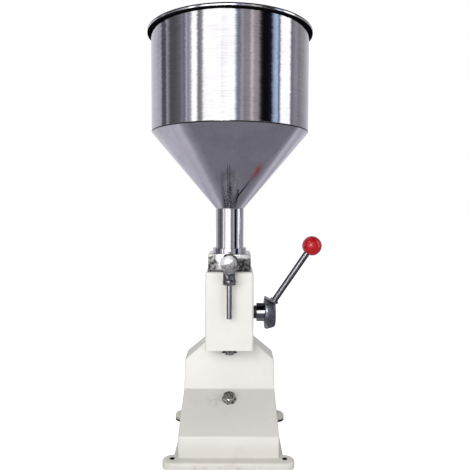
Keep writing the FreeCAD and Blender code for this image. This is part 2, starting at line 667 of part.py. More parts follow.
def pump_cylinder():
    """Pump cylinder with a square flange that is drawn up under the column's top."""
    body = new_body("pump_cylinder")
    tube = [("0", "axis_y", CYLINDER_RADIUS), ("0", "axis_y", "cylinder_bore")]
    pad(body, "tube", "XY_Plane", "cylinder_length", level=CYLINDER_END, discs=tube)
    f = "cylinder_flange"
    square = rectangle(f"-{f}", f, f"axis_y - {f}", f"axis_y + {f}")
    holes = [("0", "axis_y", "cylinder_bore")] + block_screw_discs("block_screw_radius + fit_gap")
    pad(body, "flange", "XY_Plane", "cylinder_flange_thickness", level=FLANGE_LOW,
        outlines=[square], discs=holes)
    ring_z("cylinder_seal", CYLINDER_SEAL_IN, CYLINDER_SEAL_OUT, COLUMN_TOP,
           f"{COLUMN_TOP} + cylinder_seal_height")


def block_screw_discs(radius):
    s = "block_screw_spacing"
    return [(f"{a}{s}", f"axis_y {b} {s}", radius) for a in ("-", "") for b in ("-", "+")]


def piston():
    """Piston with two seal grooves and a sunk screw into the rod's end."""
    face = "(cylinder_bore - fit_gap)"
    groove = f"({face} - seal_depth)"
    step = "(piston_height - 2 * seal_height) / 3"
    first = f"({PISTON_LOW} + {step})"
    second = f"({first} + seal_height + {step})"
    recess = "(piston_screw_head + seat_gap)"
    recess_floor = f"({PISTON_TOP} - piston_screw_head_height - seat_gap)"
    shank = "(piston_screw_radius + fit_gap)"
    spigot = "(rod_spigot_radius + fit_gap)"
    spigot_top = f"({PISTON_LOW} + rod_spigot_height)"
    spots = [(spigot, PISTON_LOW), (face, PISTON_LOW), (face, first), (groove, first),
             (groove, f"{first} + seal_height"), (face, f"{first} + seal_height"), (face, second),
             (groove, second), (groove, f"{second} + seal_height"), (face, f"{second} + seal_height"),
             (face, PISTON_TOP), (recess, PISTON_TOP), (recess, recess_floor), (shank, recess_floor),
             (shank, spigot_top), (spigot, spigot_top)]
    turned_z("piston", spots)
    seals = new_body("piston_seals")
    for name, low in (("lower", first), ("upper", second)):
        spots = rectangle(f"{groove} + fit_gap", face, f"{low} + fit_gap", f"{low} + seal_height - fit_gap")
        revolve(seals, name, "XZ_Plane", "V_Axis", spots)
    place(seals, y="axis_y")
    screw = turned_z("piston_screw", [
        ("0", f"{recess_floor} - piston_screw_length"),
        ("piston_screw_radius", f"{recess_floor} - piston_screw_length"),
        ("piston_screw_radius", recess_floor), ("piston_screw_head", recess_floor),
        ("piston_screw_head", f"{recess_floor} + piston_screw_head_height"),
        ("0", f"{recess_floor} + piston_screw_head_height")])
    pocket(screw, "socket", "XY_Plane", "piston_screw_socket_depth",
           level=f"{recess_floor} + piston_screw_head_height",
           outlines=[hexagon("piston_screw_socket")])


def rack_rod():
    """Piston rod with rack teeth cut along its front."""
    body = new_body("rack_rod")
    pad(body, "bar", "XY_Plane", "rod_length", level=ROD_LOW, discs=[("0", "0", "rod_radius")])
    pad(body, "spigot", "XY_Plane", "rod_spigot_height - fit_gap", level=PISTON_LOW,
        discs=[("0", "0", "rod_spigot_radius")])
    screw = [("0", "0", "piston_screw_radius + fit_gap")]
    pocket(body, "thread", "XY_Plane", "piston_screw_length", level=f"{PISTON_LOW} + rod_spigot_height",
           discs=screw)
    tip = "(-rack_pitch_offset - gear_module + tip_gap / 2)"
    root = "(-rack_pitch_offset + gear_module + tip_gap)"
    pitch = "(pi * gear_module)"
    first = f"({SHAFT_Z} + {pitch} * rack_lead)"
    front = f"(axis_y - rod_radius - {SHAFT_Y})"
    flat_top = f"({SHAFT_Z} + sqrt(({PITCH_RADIUS} + gear_module)^2 - {front}^2) + seat_gap)"
    flat = rectangle("-2 * rod_radius", tip, f"{ROD_LOW} - cut_reach", flat_top)
    pocket(body, "flat", "YZ_Plane", "4 * rod_radius", outlines=[flat], both=True)
    lean = "tan(pressure_angle * 1 deg)"
    wide = f"({pitch} / 4 + flank_gap - ({tip} + rack_pitch_offset) * {lean})"
    slim = f"({pitch} / 4 + flank_gap - ({root} + rack_pitch_offset) * {lean})"
    gap = [(tip, f"{first} - {wide}"), (root, f"{first} - {slim}"),
           (root, f"{first} + {slim}"), (tip, f"{first} + {wide}")]
    cut = pocket(body, "gap", "YZ_Plane", "4 * rod_radius", outlines=[gap], both=True)
    row = body.newObject("PartDesign::LinearPattern", "rack_rod_row")
    row.Originals = [cut]
    axis = next(f for f in body.Origin.OriginFeatures if f.Role == "Z_Axis")
    row.Direction = (axis, [""])
    row.Reversed = True
    bind(row, Length=f"(rack_gaps - 1) * {pitch}", Occurrences="rack_gaps")
    body.Tip = row
    doc.recompute()
    place(body, y="axis_y")


def pinion():
    """Spur pinion with involute flanks, keyed to the handle shaft."""
    module, teeth = number("gear_module"), int(number("pinion_teeth"))
    pitch_radius = number(PITCH_RADIUS)
    tip_radius = pitch_radius + module
    root_radius = pitch_radius - module - number("tip_gap")
    slope = math.radians(number("pressure_angle"))
    base_radius = pitch_radius * math.cos(slope)
    half_tooth = math.pi / (2 * teeth) - number("flank_gap") / pitch_radius

    def roll(radius):
        """Angle between an involute's start and its point at this radius."""
        pressure = math.acos(base_radius / radius)
        return math.tan(pressure) - pressure

    def flank_point(radius, side, centre):
        swing = half_tooth + roll(pitch_radius) - roll(radius)
        return polar(radius, centre + side * swing)

    def polar(radius, angle):
        return Vector(0, radius * math.cos(angle), radius * math.sin(angle))

    middle_radius = (base_radius + tip_radius) / 2
    foot = half_tooth + roll(pitch_radius)
    step = 2 * math.pi / teeth
    edges = []
    for index in range(teeth):
        centre = (index + 0.5) * step
        lower = [flank_point(r, -1, centre) for r in (base_radius, middle_radius, tip_radius)]
        upper = [flank_point(r, 1, centre) for r in (tip_radius, middle_radius, base_radius)]
        root_in = polar(root_radius, centre - foot)
        root_out = polar(root_radius, centre + foot)
        root_next = polar(root_radius, centre + step - foot)
        root_middle = polar(root_radius, centre + step / 2)
        edges.append(Part.LineSegment(root_in, lower[0]).toShape())
        edges.append(Part.Arc(*lower).toShape())
        edges.append(Part.Arc(lower[2], polar(tip_radius, centre), upper[0]).toShape())
        edges.append(Part.Arc(*upper).toShape())
        edges.append(Part.LineSegment(upper[2], root_out).toShape())
        edges.append(Part.Arc(root_out, root_middle, root_next).toShape())
    width = number("pinion_width")
    wheel = Part.Face(Part.Wire(edges)).extrude(Vector(width, 0, 0))
    bore = Part.makeCylinder(number("shaft_radius + fit_gap"), width, Vector(0, 0, 0), Vector(1, 0, 0))
    key = number("key_width + 2 * fit_gap")
    top = number("shaft_radius - key_depth + key_width + seat_gap")
    slot = Part.makeBox(width, key, top, Vector(0, -key / 2, 0))
    made = doc.addObject("Part::Feature", "pinion")
    made.Label = "pinion"
    made.Shape = wheel.cut(bore).cut(slot)
    place(made, x="-pinion_width / 2", y=SHAFT_Y, z=SHAFT_Z)


def pinion_key():
    body = new_body("pinion_key")
    low = "(shaft_radius - key_depth)"
    side = rectangle("-key_width / 2", "key_width / 2", low, f"{low} + key_width")
    pad(body, "bar", "YZ_Plane", "pinion_width", outlines=[side], both=True)
    place(body, y=SHAFT_Y, z=SHAFT_Z)


def handle_shaft():
    """Shaft through the column with ring grooves, keyway and tapped end."""
    end = SHAFT_OUTER_END
    body = turned_x("handle_shaft", rectangle("-shaft_inner_end", end, "0", "shaft_radius"))
    groove = "(shaft_radius - ring_depth)"
    inner = f"({BUSH_INNER} - seat_gap)"
    near_side = rectangle(f"{inner} - ring_width", inner, groove, "2 * shaft_radius")
    revolve(body, "ring_groove", "XZ_Plane", "H_Axis", near_side, kind="Groove")
    far_side = rectangle(f"-{inner}", f"-{inner} + ring_width", groove, "2 * shaft_radius")
    revolve(body, "far_groove", "XZ_Plane", "H_Axis", far_side, kind="Groove")
    thread = [("0", "0", "hub_screw_radius + fit_gap")]
    pocket(body, "thread", "YZ_Plane", "hub_screw_length + cut_reach", level=end, discs=thread)
    low = "(shaft_radius - key_depth)"
    keyway = rectangle("-key_width / 2 - fit_gap", "key_width / 2 + fit_gap", f"{low} - fit_gap",
                       "2 * shaft_radius")
    pocket(body, "keyway", "YZ_Plane", "pinion_width + 2 * fit_gap", outlines=[keyway], both=True)
    rings = new_body("shaft_rings")
    for name, start in (("near", f"{inner} - ring_width + fit_gap"), ("far", f"-{inner} + fit_gap")):
        side = rectangle(start, f"{start} + ring_width - 2 * fit_gap", f"{groove} + fit_gap", "ring_radius")
        revolve(rings, name, "XZ_Plane", "H_Axis", side)
    place(rings, y=SHAFT_Y, z=SHAFT_Z)


def shaft_bushes():
    """Flanged bushes that carry the handle shaft in the column's two sides."""
    bore = "(shaft_radius + fit_gap)"
    wall = "(column_half_width - column_wall)"
    for label, sign, outer in (("shaft_bush_left", "-", "column_half_width"),
                               ("shaft_bush_right", "", BUSH_OUTER)):
        spots = [(f"{sign}{BUSH_INNER}", bore), (f"{sign}{outer}", bore), (f"{sign}{outer}", "bush_radius"),
                 (f"{sign}{wall}", "bush_radius"), (f"{sign}{wall}", "bush_flange_radius"),
                 (f"{sign}{BUSH_INNER}", "bush_flange_radius")]
        turned_x(label, spots)


def shaft_collar():
    """Collar that fills the space between the bush and the hub."""
    side = rectangle(COLLAR_START, HUB_START, "shaft_radius + fit_gap", "collar_radius")
    body = turned_x("shaft_collar", side)
    start = number(COLLAR_START)
    dress(body, "Chamfer", "edge", body.Tip, lambda edge, middle: near(middle.x, start)
          and spans(edge, "collar_radius"), "collar_edge")


def handle_hub():
    """Tapered hub disc with a slanted flat that takes the handle rod."""
    bore = "(shaft_radius + fit_gap)"
    spots = [(HUB_START, bore), (HUB_START, "hub_radius"), (f"{HUB_START} + hub_land", "hub_radius"),
             (HUB_END, "hub_outer_radius"), (HUB_END, "hub_recess_radius"),
             (HUB_RECESS, "hub_recess_radius"), (HUB_RECESS, bore)]
    body = turned_x("hub_blank", spots)
    start, end = number(HUB_START), number(HUB_END)
    rounded = dress(body, "Fillet", "outer_round", body.Tip,
                    lambda edge, middle: near(middle.x, end) and spans(edge, "hub_outer_radius"),
                    "hub_rounding")
    dress(body, "Fillet", "inner_round", rounded,
          lambda edge, middle: near(middle.x, start) and spans(edge, "hub_radius"), "hub_edge")
    seat = doc.addObject("Part::Cylinder", "hub_flat_tool")
    bind(seat, Radius="hub_radius", Height="hub_radius")
    along_rod(seat, "handle_seat")
    thread = doc.addObject("Part::Cylinder", "hub_thread_tool")
    bind(thread, Radius="handle_radius + fit_gap", Height="hub_radius")
    along_rod(thread, "handle_start - fit_gap")
    tools = doc.addObject("Part::Fuse", "hub_tools")
    tools.Base = seat
    tools.Tool = thread
    cut = doc.addObject("Part::Cut", "handle_hub")
    cut.Label = "handle_hub"
    cut.Base = body
    cut.Tool = tools


def along_rod(thing, distance="0"):
    """Stand an object on the handle rod's line, its own Z along the rod."""
    slope = "(rod_lean_angle * 1 deg)"
    place(thing, x=f"cross_x + ({distance}) * sin{slope}", y=SHAFT_Y,
          z=f"{SHAFT_Z} + ({distance}) * cos{slope}", turn_axis=Vector(0, 1, 0), turn=f"{slope}")


def hub_screw():
    """Flanged screw that holds the hub on the shaft's end."""
    head = "(hub_recess_radius - seat_gap)"
    low = f"({HUB_RECESS} - hub_screw_length)"
    top = f"({HUB_RECESS} + hub_screw_head)"
    flange = f"({HUB_RECESS} + hub_screw_flange)"
    body = turned_x("hub_screw", [
        (low, "0"), (top, "0"), (top, "hub_screw_top_radius"), (flange, "hub_screw_neck_radius"),
        (flange, head), (HUB_RECESS, head), (HUB_RECESS, "hub_screw_radius"), (low, "hub_screw_radius")])
    pocket(body, "socket", "YZ_Plane", "hub_screw_socket_depth", level=top,
           outlines=[hexagon("hub_screw_socket")])


def handle_rod():
    """Straight round rod that leans outwards from the hub to the knob."""
    body = new_body("handle_rod")
    end = "(knob_distance - knob_bore_end - seat_gap)"
    pad(body, "rod", "XY_Plane", f"{end} - handle_start", discs=[("0", "0", "handle_radius")])
    along_rod(body, "handle_start")
    nut = new_body("handle_lock_nut")
    pad(nut, "nut", "XY_Plane", "handle_nut_height", outlines=[hexagon("handle_nut_across")],
        discs=[("0", "0", "handle_radius + fit_gap")])
    along_rod(nut, "handle_seat")


def ball_knob():
    """Ball knob with a flat foot and a blind bore for the rod."""
    ball = doc.addObject("Part::Sphere", "knob_ball")
    bind(ball, Radius="knob_radius")
    foot = doc.addObject("Part::Cylinder", "knob_foot_tool")
    bind(foot, Radius="knob_radius", Height="knob_radius")
    place(foot, z="-knob_flat - knob_radius")
    bore = doc.addObject("Part::Cylinder", "knob_bore_tool")
    bind(bore, Radius="handle_radius + fit_gap", Height="knob_radius")
    place(bore, z="-knob_bore_end - knob_radius")
    tools = doc.addObject("Part::Fuse", "knob_tools")
    tools.Base = foot
    tools.Tool = bore
    cut = doc.addObject("Part::Cut", "ball_knob")
    cut.Label = "ball_knob"
    cut.Base = ball
    cut.Tool = tools
    along_rod(cut, "knob_distance")


def rod_guide():
    """Bronze saddle behind the rod and the bracket that holds it to the back."""
    body = new_body("rod_guide")
    half = "guide_half_width"
    gap = "(rod_radius + fit_gap)"
    box = rectangle(f"-{half}", half, "axis_y + rack_pitch_offset / 2", "axis_y + guide_depth")
    pad(body, "saddle", "XY_Plane", "guide_height", level=GUIDE_LOW, outlines=[box])
    pocket(body, "channel", "XY_Plane", "guide_height", level=f"{GUIDE_LOW} + guide_height",
           discs=[("0", "axis_y", gap)])
    bracket = new_body("guide_bracket")
    front, back = "axis_y + guide_depth", "column_back_y - column_wall"
    wall = "bracket_wall"
    channel = [(f"-{half}", front), (half, front), (half, back), (f"{half} - {wall}", back),
               (f"{half} - {wall}", f"{front} + {wall}"), (f"-{half} + {wall}", f"{front} + {wall}"),
               (f"-{half} + {wall}", back), (f"-{half}", back)]
    pad(bracket, "channel", "XY_Plane", "guide_height", level=GUIDE_LOW, outlines=[channel])


def valve_block():
    """Square valve block with the suction chamber, its seat and the side port."""
    body = new_body("valve_block")
    b = "block_half_width"
    square = rectangle(f"-{b}", b, f"axis_y - {b}", f"axis_y + {b}")
    solid = pad(body, "block", "XY_Plane", "block_height", level=COLUMN_TOP, outlines=[square])
    dress(body, "Chamfer", "edges", solid, lambda edge, middle: True, "block_edge")
    through = [("0", "axis_y", "cage_radius")]
    pocket(body, "cage", "XY_Plane", "block_height", level=BLOCK_TOP, discs=through)
    seat = [("0", "axis_y", "seat_radius + fit_gap")]
    pocket(body, "seat_bore", "XY_Plane", "collar_spigot_height + seat_thickness", level=BLOCK_TOP,
           discs=seat)
    groove = [("0", "axis_y", f"{CYLINDER_SEAL_OUT} + fit_gap"),
              ("0", "axis_y", f"{CYLINDER_SEAL_IN} - fit_gap")]
    pocket(body, "seal_groove", "XY_Plane", "cylinder_seal_height + fit_gap", level=COLUMN_TOP,
           discs=groove, reverse=True)
    pocket(body, "screw_holes", "XY_Plane", "block_height", level=BLOCK_TOP,
           discs=block_screw_discs("block_screw_radius + seat_gap"))
    pocket(body, "screw_heads", "XY_Plane", "block_screw_head_height + seat_gap", level=BLOCK_TOP,
           discs=block_screw_discs("block_screw_head + seat_gap"))
    front = f"-{BLOCK_FRONT}"
    pocket(body, "port", "XZ_Plane", "block_half_width", level=front,
           discs=[("0", PORT_Z, "port_radius")])
    pocket(body, "port_thread", "XZ_Plane", "flange_spigot_length + seat_gap", level=front,
           discs=[("0", PORT_Z, "flange_spigot_radius + fit_gap")])


def block_screws():
    """Four socket screws through the block into the cylinder's flange."""
    body = new_body("block_screws")
    head_low = f"({BLOCK_TOP} - block_screw_head_height - seat_gap)"
    pad(body, "heads", "XY_Plane", "block_screw_head_height", level=head_low,
        discs=block_screw_discs("block_screw_head"))
    pad(body, "shanks", "XY_Plane", f"{head_low} - {FLANGE_LOW} - seat_gap", level=head_low,
        discs=block_screw_discs("block_screw_radius"), reverse=True)
    s = "block_screw_spacing"
    sockets = [hexagon("block_screw_socket", f"{a}{s}", f"axis_y {b} {s}")
               for a in ("-", "") for b in ("-", "+")]
    pocket(body, "sockets", "XY_Plane", "block_screw_socket_depth",
           level=f"{head_low} + block_screw_head_height", outlines=sockets)


def suction_valve():
    """Suction seat, spring retainer and the ball between them."""
    ring_z("suction_seat", "seat_bore", "seat_radius", SEAT_LOW, SEAT_TOP)
    retainer = new_body("spring_retainer")
    disc = [("0", "0", "cage_radius - fit_gap")]
    pad(retainer, "disc", "XY_Plane", "retainer_thickness", level=COLUMN_TOP, discs=disc)
    off = "retainer_port_offset"
    ports = [(off, "0"), (f"-{off}", "0"), ("0", off), ("0", f"-{off}"), ("0", "0")]
    pocket(retainer, "ports", "XY_Plane", "retainer_thickness", level=RETAINER_TOP,
           discs=[(x, y, "retainer_port_radius") for x, y in ports])
    place(retainer, y="axis_y")
    ball("suction_ball", "suction_ball_radius", "axis_y", SUCTION_BALL_Z)
    valve_spring("suction_spring", "suction_spring_radius", "suction_spring_wire", RETAINER_TOP,
                 "suction_ball_radius", SUCTION_BALL_Z, "axis_y")


def ball(label, radius, y, z):
    made = doc.addObject("Part::Sphere", label)
    made.Label = label
    bind(made, Radius=radius)
    place(made, y=y, z=z)


def coil(mean, thick, height, turns, steps=14, sides=6):
    """A coil of straight lengths with a many-sided section, mitred at each joint."""
    count = int(turns * steps)
    points = []
    for index in range(count + 1):
        angle = 2 * math.pi * index / steps
        points.append(Vector(mean * math.cos(angle), mean * math.sin(angle), height * index / count))
    along = (points[1] - points[0]).normalize()
    across = Vector(1, 0, 0)
    upright = along.cross(across).normalize()
    across = upright.cross(along)
    corners = []
    for index in range(sides):
        angle = 2 * math.pi * index / sides
        offset = across * math.cos(angle) + upright * math.sin(angle)
        corners.append(points[0] + offset * (thick / 2))
    section = Part.makePolygon(corners + [corners[0]])
    return Part.makePolygon(points).makePipeShell([section], True, False, 1)


def valve_spring(label, mean_radius, wire, low, ball_radius, ball_z, y):
    """Coil spring from its seat up to the underside of the ball."""
    mean, thick = number(mean_radius), number(wire)
    inner = mean - thick / 2
    contact = number(ball_z) - math.sqrt(number(ball_radius) ** 2 - inner ** 2)
    start = number(low) + thick / 2
    height = contact - number("ball_gap") * 2 - thick / 2 - start
    made = doc.addObject("Part::Feature", label)
    made.Label = label
    made.Shape = coil(mean, thick, height, number("spring_turns"))
    place(made, y=y, z=f"{low} + {wire} / 2")


def neck_collar():
    """Collar that screws into the block and carries the hopper's neck."""
    spigot_inner = "(seat_radius - collar_spigot_wall)"
    tube = "(neck_radius + fit_gap)"
    top = f"({BLOCK_TOP} + neck_collar_height)"
    seat = f"({BLOCK_TOP} + neck_seat)"
    seal_in = "(neck_seal_radius - neck_seal_width - fit_gap)"
    seal_out = "(neck_seal_radius + fit_gap)"
    seal_top = f"({BLOCK_TOP} + neck_seal_height + fit_gap)"
    spots = [(spigot_inner, SEAT_TOP), ("seat_radius", SEAT_TOP), ("seat_radius", BLOCK_TOP),
             (seal_in, BLOCK_TOP), (seal_in, seal_top), (seal_out, seal_top), (seal_out, BLOCK_TOP),
             ("neck_collar_radius", BLOCK_TOP), ("neck_collar_radius", top), (tube, top),
             (tube, seat), (spigot_inner, seat)]
    body = turned_z("neck_collar", spots)
    edge_z = number(top)
    dress(body, "Chamfer", "edge", body.Tip,
          lambda edge, middle: near(middle.z, edge_z) and spans(edge, "neck_collar_radius"),
          "block_edge")
    ring_z("neck_seal", "neck_seal_radius - neck_seal_width", "neck_seal_radius",
           BLOCK_TOP, f"{BLOCK_TOP} + neck_seal_height")


def hopper():
    """Hopper welded from a neck tube, a cone and a straight bowl, all of one sheet."""
    inner_neck, inner_bowl = "(neck_radius - hopper_wall)", "(bowl_radius - hopper_wall)"
    neck_joint, bowl_joint = f"({NECK_TOP} + {WALL_SHIFT})", f"({CONE_TOP} + {WALL_SHIFT})"
    ring_z("hopper_neck", inner_neck, "neck_radius", f"({BLOCK_TOP} + neck_seat)", NECK_TOP)
    turned_z("hopper_cone", [
        (inner_neck, NECK_TOP), ("neck_radius", NECK_TOP), ("bowl_radius", CONE_TOP),
        (inner_bowl, CONE_TOP), (inner_bowl, bowl_joint), (inner_neck, neck_joint)])
    ring_z("hopper_bowl", inner_bowl, "bowl_radius", CONE_TOP, BOWL_TOP)
    inner, outer = "(bowl_radius + fit_gap)", "(bowl_radius + rim_width)"
    rim = turned_z("rim_bead", rectangle(inner, outer, f"{BOWL_TOP} - rim_height", BOWL_TOP))
    dress(rim, "Fillet", "roll", rim.Tip,
          lambda edge, middle: spans(edge, outer) and near(edge.BoundBox.ZLength, 0), "rim_rounding")


def discharge():
    """Flange, ball-shaped cap, nut and nozzle that bring the product out in front."""
    flange = new_body("discharge_flange")
    back = f"({BLOCK_FRONT} + flange_spigot_length)"
    front = f"({BLOCK_FRONT} - flange_thickness)"
    tube_end = f"({front} - flange_tube_length)"
    spots = [(back, "port_radius"), (back, "flange_spigot_radius"), (BLOCK_FRONT, "flange_spigot_radius"),
             (BLOCK_FRONT, "flange_radius"), (front, "flange_radius"), (front, "flange_tube_radius"),
             (tube_end, "flange_tube_radius"), (tube_end, "port_radius")]
    revolve(flange, "turn", "YZ_Plane", "H_Axis", spots)
    place(flange, z=PORT_Z)
    discharge_cap(tube_end)
    ball("discharge_ball", "discharge_ball_radius", CAP_Y, DISCHARGE_BALL_Z)
    valve_spring("discharge_spring", "discharge_spring_radius", "discharge_spring_wire",
                 CAP_NECK_END, "discharge_ball_radius", DISCHARGE_BALL_Z, CAP_Y)
    ring_z("nozzle_seal", "nozzle_seal_bore", "cap_neck_radius", NOZZLE_SEAL_LOW, CAP_NECK_END,
           y=CAP_Y)
    nozzle_nut()
    nozzle_tube()


def nozzle_tube():
    """Filling tube with a flange in the nut and a thicker root under the nut."""
    bore = "(nozzle_radius - nozzle_wall)"
    root_low = f"({NUT_LOW} - nozzle_root_drop)"
    seat = "(cap_neck_radius - fit_gap)"
    turned_z("nozzle_tube", [
        (bore, NOZZLE_TIP), ("nozzle_radius", NOZZLE_TIP),
        ("nozzle_radius", f"{root_low} - (nozzle_root_radius - nozzle_radius)"),
        ("nozzle_root_radius", root_low), ("nozzle_root_radius", NOZZLE_FLANGE_LOW),
        (seat, NOZZLE_FLANGE_LOW), (seat, NOZZLE_SEAL_LOW), (bore, NOZZLE_SEAL_LOW)], y=CAP_Y)


def discharge_cap(tube_end):
    """Ball-shaped cap: socket from behind, seat and chamber from below."""
    sphere = doc.addObject("Part::Sphere", "cap_ball")
    bind(sphere, Radius="cap_radius")
    place(sphere, y=CAP_Y, z=CAP_Z)
    neck = doc.addObject("Part::Cylinder", "cap_neck")
    bind(neck, Radius="cap_neck_radius", Height="cap_neck_length")
    place(neck, y=CAP_Y, z=CAP_NECK_END)
    outside = doc.addObject("Part::Fuse", "cap_outside")
    outside.Base = sphere
    outside.Tool = neck
    back_turn = Vector(1, 0, 0)
    socket = doc.addObject("Part::Cylinder", "cap_socket")
    bind(socket, Radius="flange_tube_radius + fit_gap", Height="cap_radius")
    place(socket, y=f"{tube_end} - fit_gap", z=PORT_Z, turn_axis=back_turn, turn="-90 deg")
    port = doc.addObject("Part::Cylinder", "cap_port")
    bind(port, Radius="port_radius", Height="cap_radius")
    place(port, y=CAP_Y, z=PORT_Z, turn_axis=back_turn, turn="-90 deg")
    seat = doc.addObject("Part::Cylinder", "cap_seat")
    bind(seat, Radius="cap_seat_bore", Height="cap_seat_drop + cut_reach")
    place(seat, y=CAP_Y, z=f"{CAP_SEAT} - cut_reach")
    chamber = doc.addObject("Part::Cylinder", "cap_chamber")
    bind(chamber, Radius="cap_chamber_radius", Height=f"{CAP_SEAT} - {CAP_NECK_END} + cut_reach")
    place(chamber, y=CAP_Y, z=f"{CAP_NECK_END} - cut_reach")
    tools = doc.addObject("Part::MultiFuse", "cap_tools")
    tools.Shapes = [socket, port, seat, chamber]
    cap = doc.addObject("Part::Cut", "discharge_cap")
    cap.Label = "discharge_cap"
    cap.Base = outside
    cap.Tool = tools


def nozzle_nut():
    """Union nut: hexagon above, round skirt below, floor that holds the tube."""
    body = new_body("nozzle_nut")
    bore = ("0", "0", "cap_neck_radius + fit_gap")
    skirt_top = f"({NUT_LOW} + nut_skirt_height)"
    skirt = [("0", "0", "nut_skirt_radius")]
    pad(body, "skirt", "XY_Plane", "nut_skirt_height", level=NUT_LOW, discs=skirt)
    pad(body, "hexagon", "XY_Plane", "nut_hex_height", level=skirt_top, outlines=[hexagon("nut_across")])
    whole = "nut_skirt_height + nut_hex_height - nut_floor"
    pocket(body, "bore", "XY_Plane", whole, level=f"{skirt_top} + nut_hex_height", discs=[bore])
    pocket(body, "outlet", "XY_Plane", "nut_floor", level=f"{NUT_LOW} + nut_floor",
           discs=[("0", "0", "nozzle_root_radius + fit_gap")])
    place(body, y=CAP_Y)


NODES = [
    "base_plate", "pedestal_shell", "stage_pillar", "stage_washer", "stage_bolt", "column_housing",
    "column_floor", "column_bolts", "column_nuts", "dose_screw", "dose_lock_nut", "pump_cylinder",
    "cylinder_seal", "piston", "piston_seals", "piston_screw", "rack_rod", "rod_guide", "guide_bracket",
    "pinion", "pinion_key", "handle_shaft", "shaft_rings", "shaft_bush_left", "shaft_bush_right",
    "shaft_collar", "handle_hub", "hub_screw", "handle_rod", "handle_lock_nut", "ball_knob",
    "valve_block", "block_screws", "suction_seat", "suction_ball", "suction_spring", "spring_retainer",
    "neck_collar", "neck_seal", "hopper_neck", "hopper_cone", "hopper_bowl", "rim_bead",
    "discharge_flange", "discharge_cap", "discharge_ball", "discharge_spring", "nozzle_nut",
    "nozzle_seal", "nozzle_tube",
]


def build():
    base_plate()
    pedestal_shell()
    stage_pillar()
    stage_bolt()
    column_housing()
    column_floor()
    column_bolts()
    dose_screw()
    pump_cylinder()
    piston()
    rack_rod()
    rod_guide()
    pinion()
    pinion_key()
    handle_shaft()
    shaft_bushes()
    shaft_collar()
    handle_hub()
    hub_screw()
    handle_rod()
    ball_knob()
    valve_block()
    block_screws()
    suction_valve()
    neck_collar()
    hopper()
    discharge()
    doc.recompute()


def check_and_write():
    """Refuse a failed object or an empty, broken shape, then write each node."""
    for thing in doc.Objects:
        if {"Invalid", "Error"} & set(thing.State):
            raise RuntimeError(f"{thing.Label}: {thing.State}")
    by_label = {thing.Label: thing for thing in doc.Objects}
    shapes = {name: by_label[name].Shape for name in NODES}
    for name, shape in shapes.items():
        if shape.isNull() or not shape.isValid() or not shape.Solids:
            raise RuntimeError(f"{name}: shape is empty or broken")
    os.makedirs("parts", exist_ok=True)
    for name, shape in shapes.items():
        shape.exportStep(os.path.join("parts", name + ".step"))
        print(f"{name}: {len(shape.Solids)} solid, {shape.Volume:.0f} mm3")


sheet = make_sheet()
build()
check_and_write()
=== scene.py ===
"""Looks of a manual filling machine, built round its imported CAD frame."""

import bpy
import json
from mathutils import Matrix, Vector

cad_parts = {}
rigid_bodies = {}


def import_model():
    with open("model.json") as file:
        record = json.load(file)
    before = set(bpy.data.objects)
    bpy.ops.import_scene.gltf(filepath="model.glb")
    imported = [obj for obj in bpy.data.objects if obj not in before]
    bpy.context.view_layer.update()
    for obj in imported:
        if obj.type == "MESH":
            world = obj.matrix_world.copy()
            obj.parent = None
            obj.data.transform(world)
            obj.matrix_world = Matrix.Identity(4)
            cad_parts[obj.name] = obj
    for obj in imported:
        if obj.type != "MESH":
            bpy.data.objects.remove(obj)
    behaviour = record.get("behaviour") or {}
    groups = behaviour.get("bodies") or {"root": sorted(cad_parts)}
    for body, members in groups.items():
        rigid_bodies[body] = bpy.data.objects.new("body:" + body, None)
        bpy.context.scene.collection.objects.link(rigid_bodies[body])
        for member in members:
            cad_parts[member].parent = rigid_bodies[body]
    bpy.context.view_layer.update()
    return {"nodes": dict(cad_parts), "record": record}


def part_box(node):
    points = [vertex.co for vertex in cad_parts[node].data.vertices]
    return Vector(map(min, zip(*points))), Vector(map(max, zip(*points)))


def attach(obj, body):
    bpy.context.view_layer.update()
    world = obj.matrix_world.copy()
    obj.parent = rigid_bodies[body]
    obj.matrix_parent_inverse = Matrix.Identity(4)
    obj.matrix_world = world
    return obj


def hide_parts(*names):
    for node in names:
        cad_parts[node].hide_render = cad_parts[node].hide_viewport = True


bl_info = {
    "name": "Manual Filling Machine",
    "version": (1, 0, 0),
    "blender": (4, 5, 0),
    "location": "View3D > Sidebar > Filling Machine",
    "description": "Models and finishes the outer pieces of a manual filling machine",
    "category": "Object",
}

import json
import math

import bpy
from mathutils import Matrix, Vector

for leftover in list(bpy.data.objects):
    bpy.data.objects.remove(leftover)

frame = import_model()

MM = 0.001
OVERLAP = 1 * MM    # how far a cutting tool passes a face, and a joined piece sinks into the other


# Blender helpers

def deselect():
    """Leave edit mode and clear the selection."""
    if bpy.context.object is not None and bpy.context.object.mode != "OBJECT":
        bpy.ops.object.mode_set(mode="OBJECT")
    bpy.ops.object.select_all(action="DESELECT")


def grab(piece):
    """Make a piece the only selected and active object."""
    deselect()
    piece.select_set(True)
    bpy.context.view_layer.objects.active = piece


def named(name):
    """Name the primitive that was just added."""
    piece = bpy.context.object
    piece.name = piece.data.name = name
    return piece


def edit(piece):
    """Open a piece in edit mode."""
    grab(piece)
    bpy.ops.object.mode_set(mode="EDIT")


def leave():
    """Go back to object mode."""
    bpy.ops.object.mode_set(mode="OBJECT")


def finish_modifier(piece, kind, **settings):
    """Add a modifier with its settings and apply it."""
    grab(piece)
    bpy.ops.object.modifier_add(type=kind)
    modifier = piece.modifiers[-1]
    for key, value in settings.items():
        setattr(modifier, key, value)
    bpy.ops.object.modifier_apply(modifier=modifier.name)


def soften(piece, width, segments=3, angle=30):
    """Round the sharp edges of a piece."""
    finish_modifier(piece, "BEVEL", width=width, segments=segments, limit_method="ANGLE",
                    angle_limit=math.radians(angle), miter_outer="MITER_ARC", harden_normals=False)


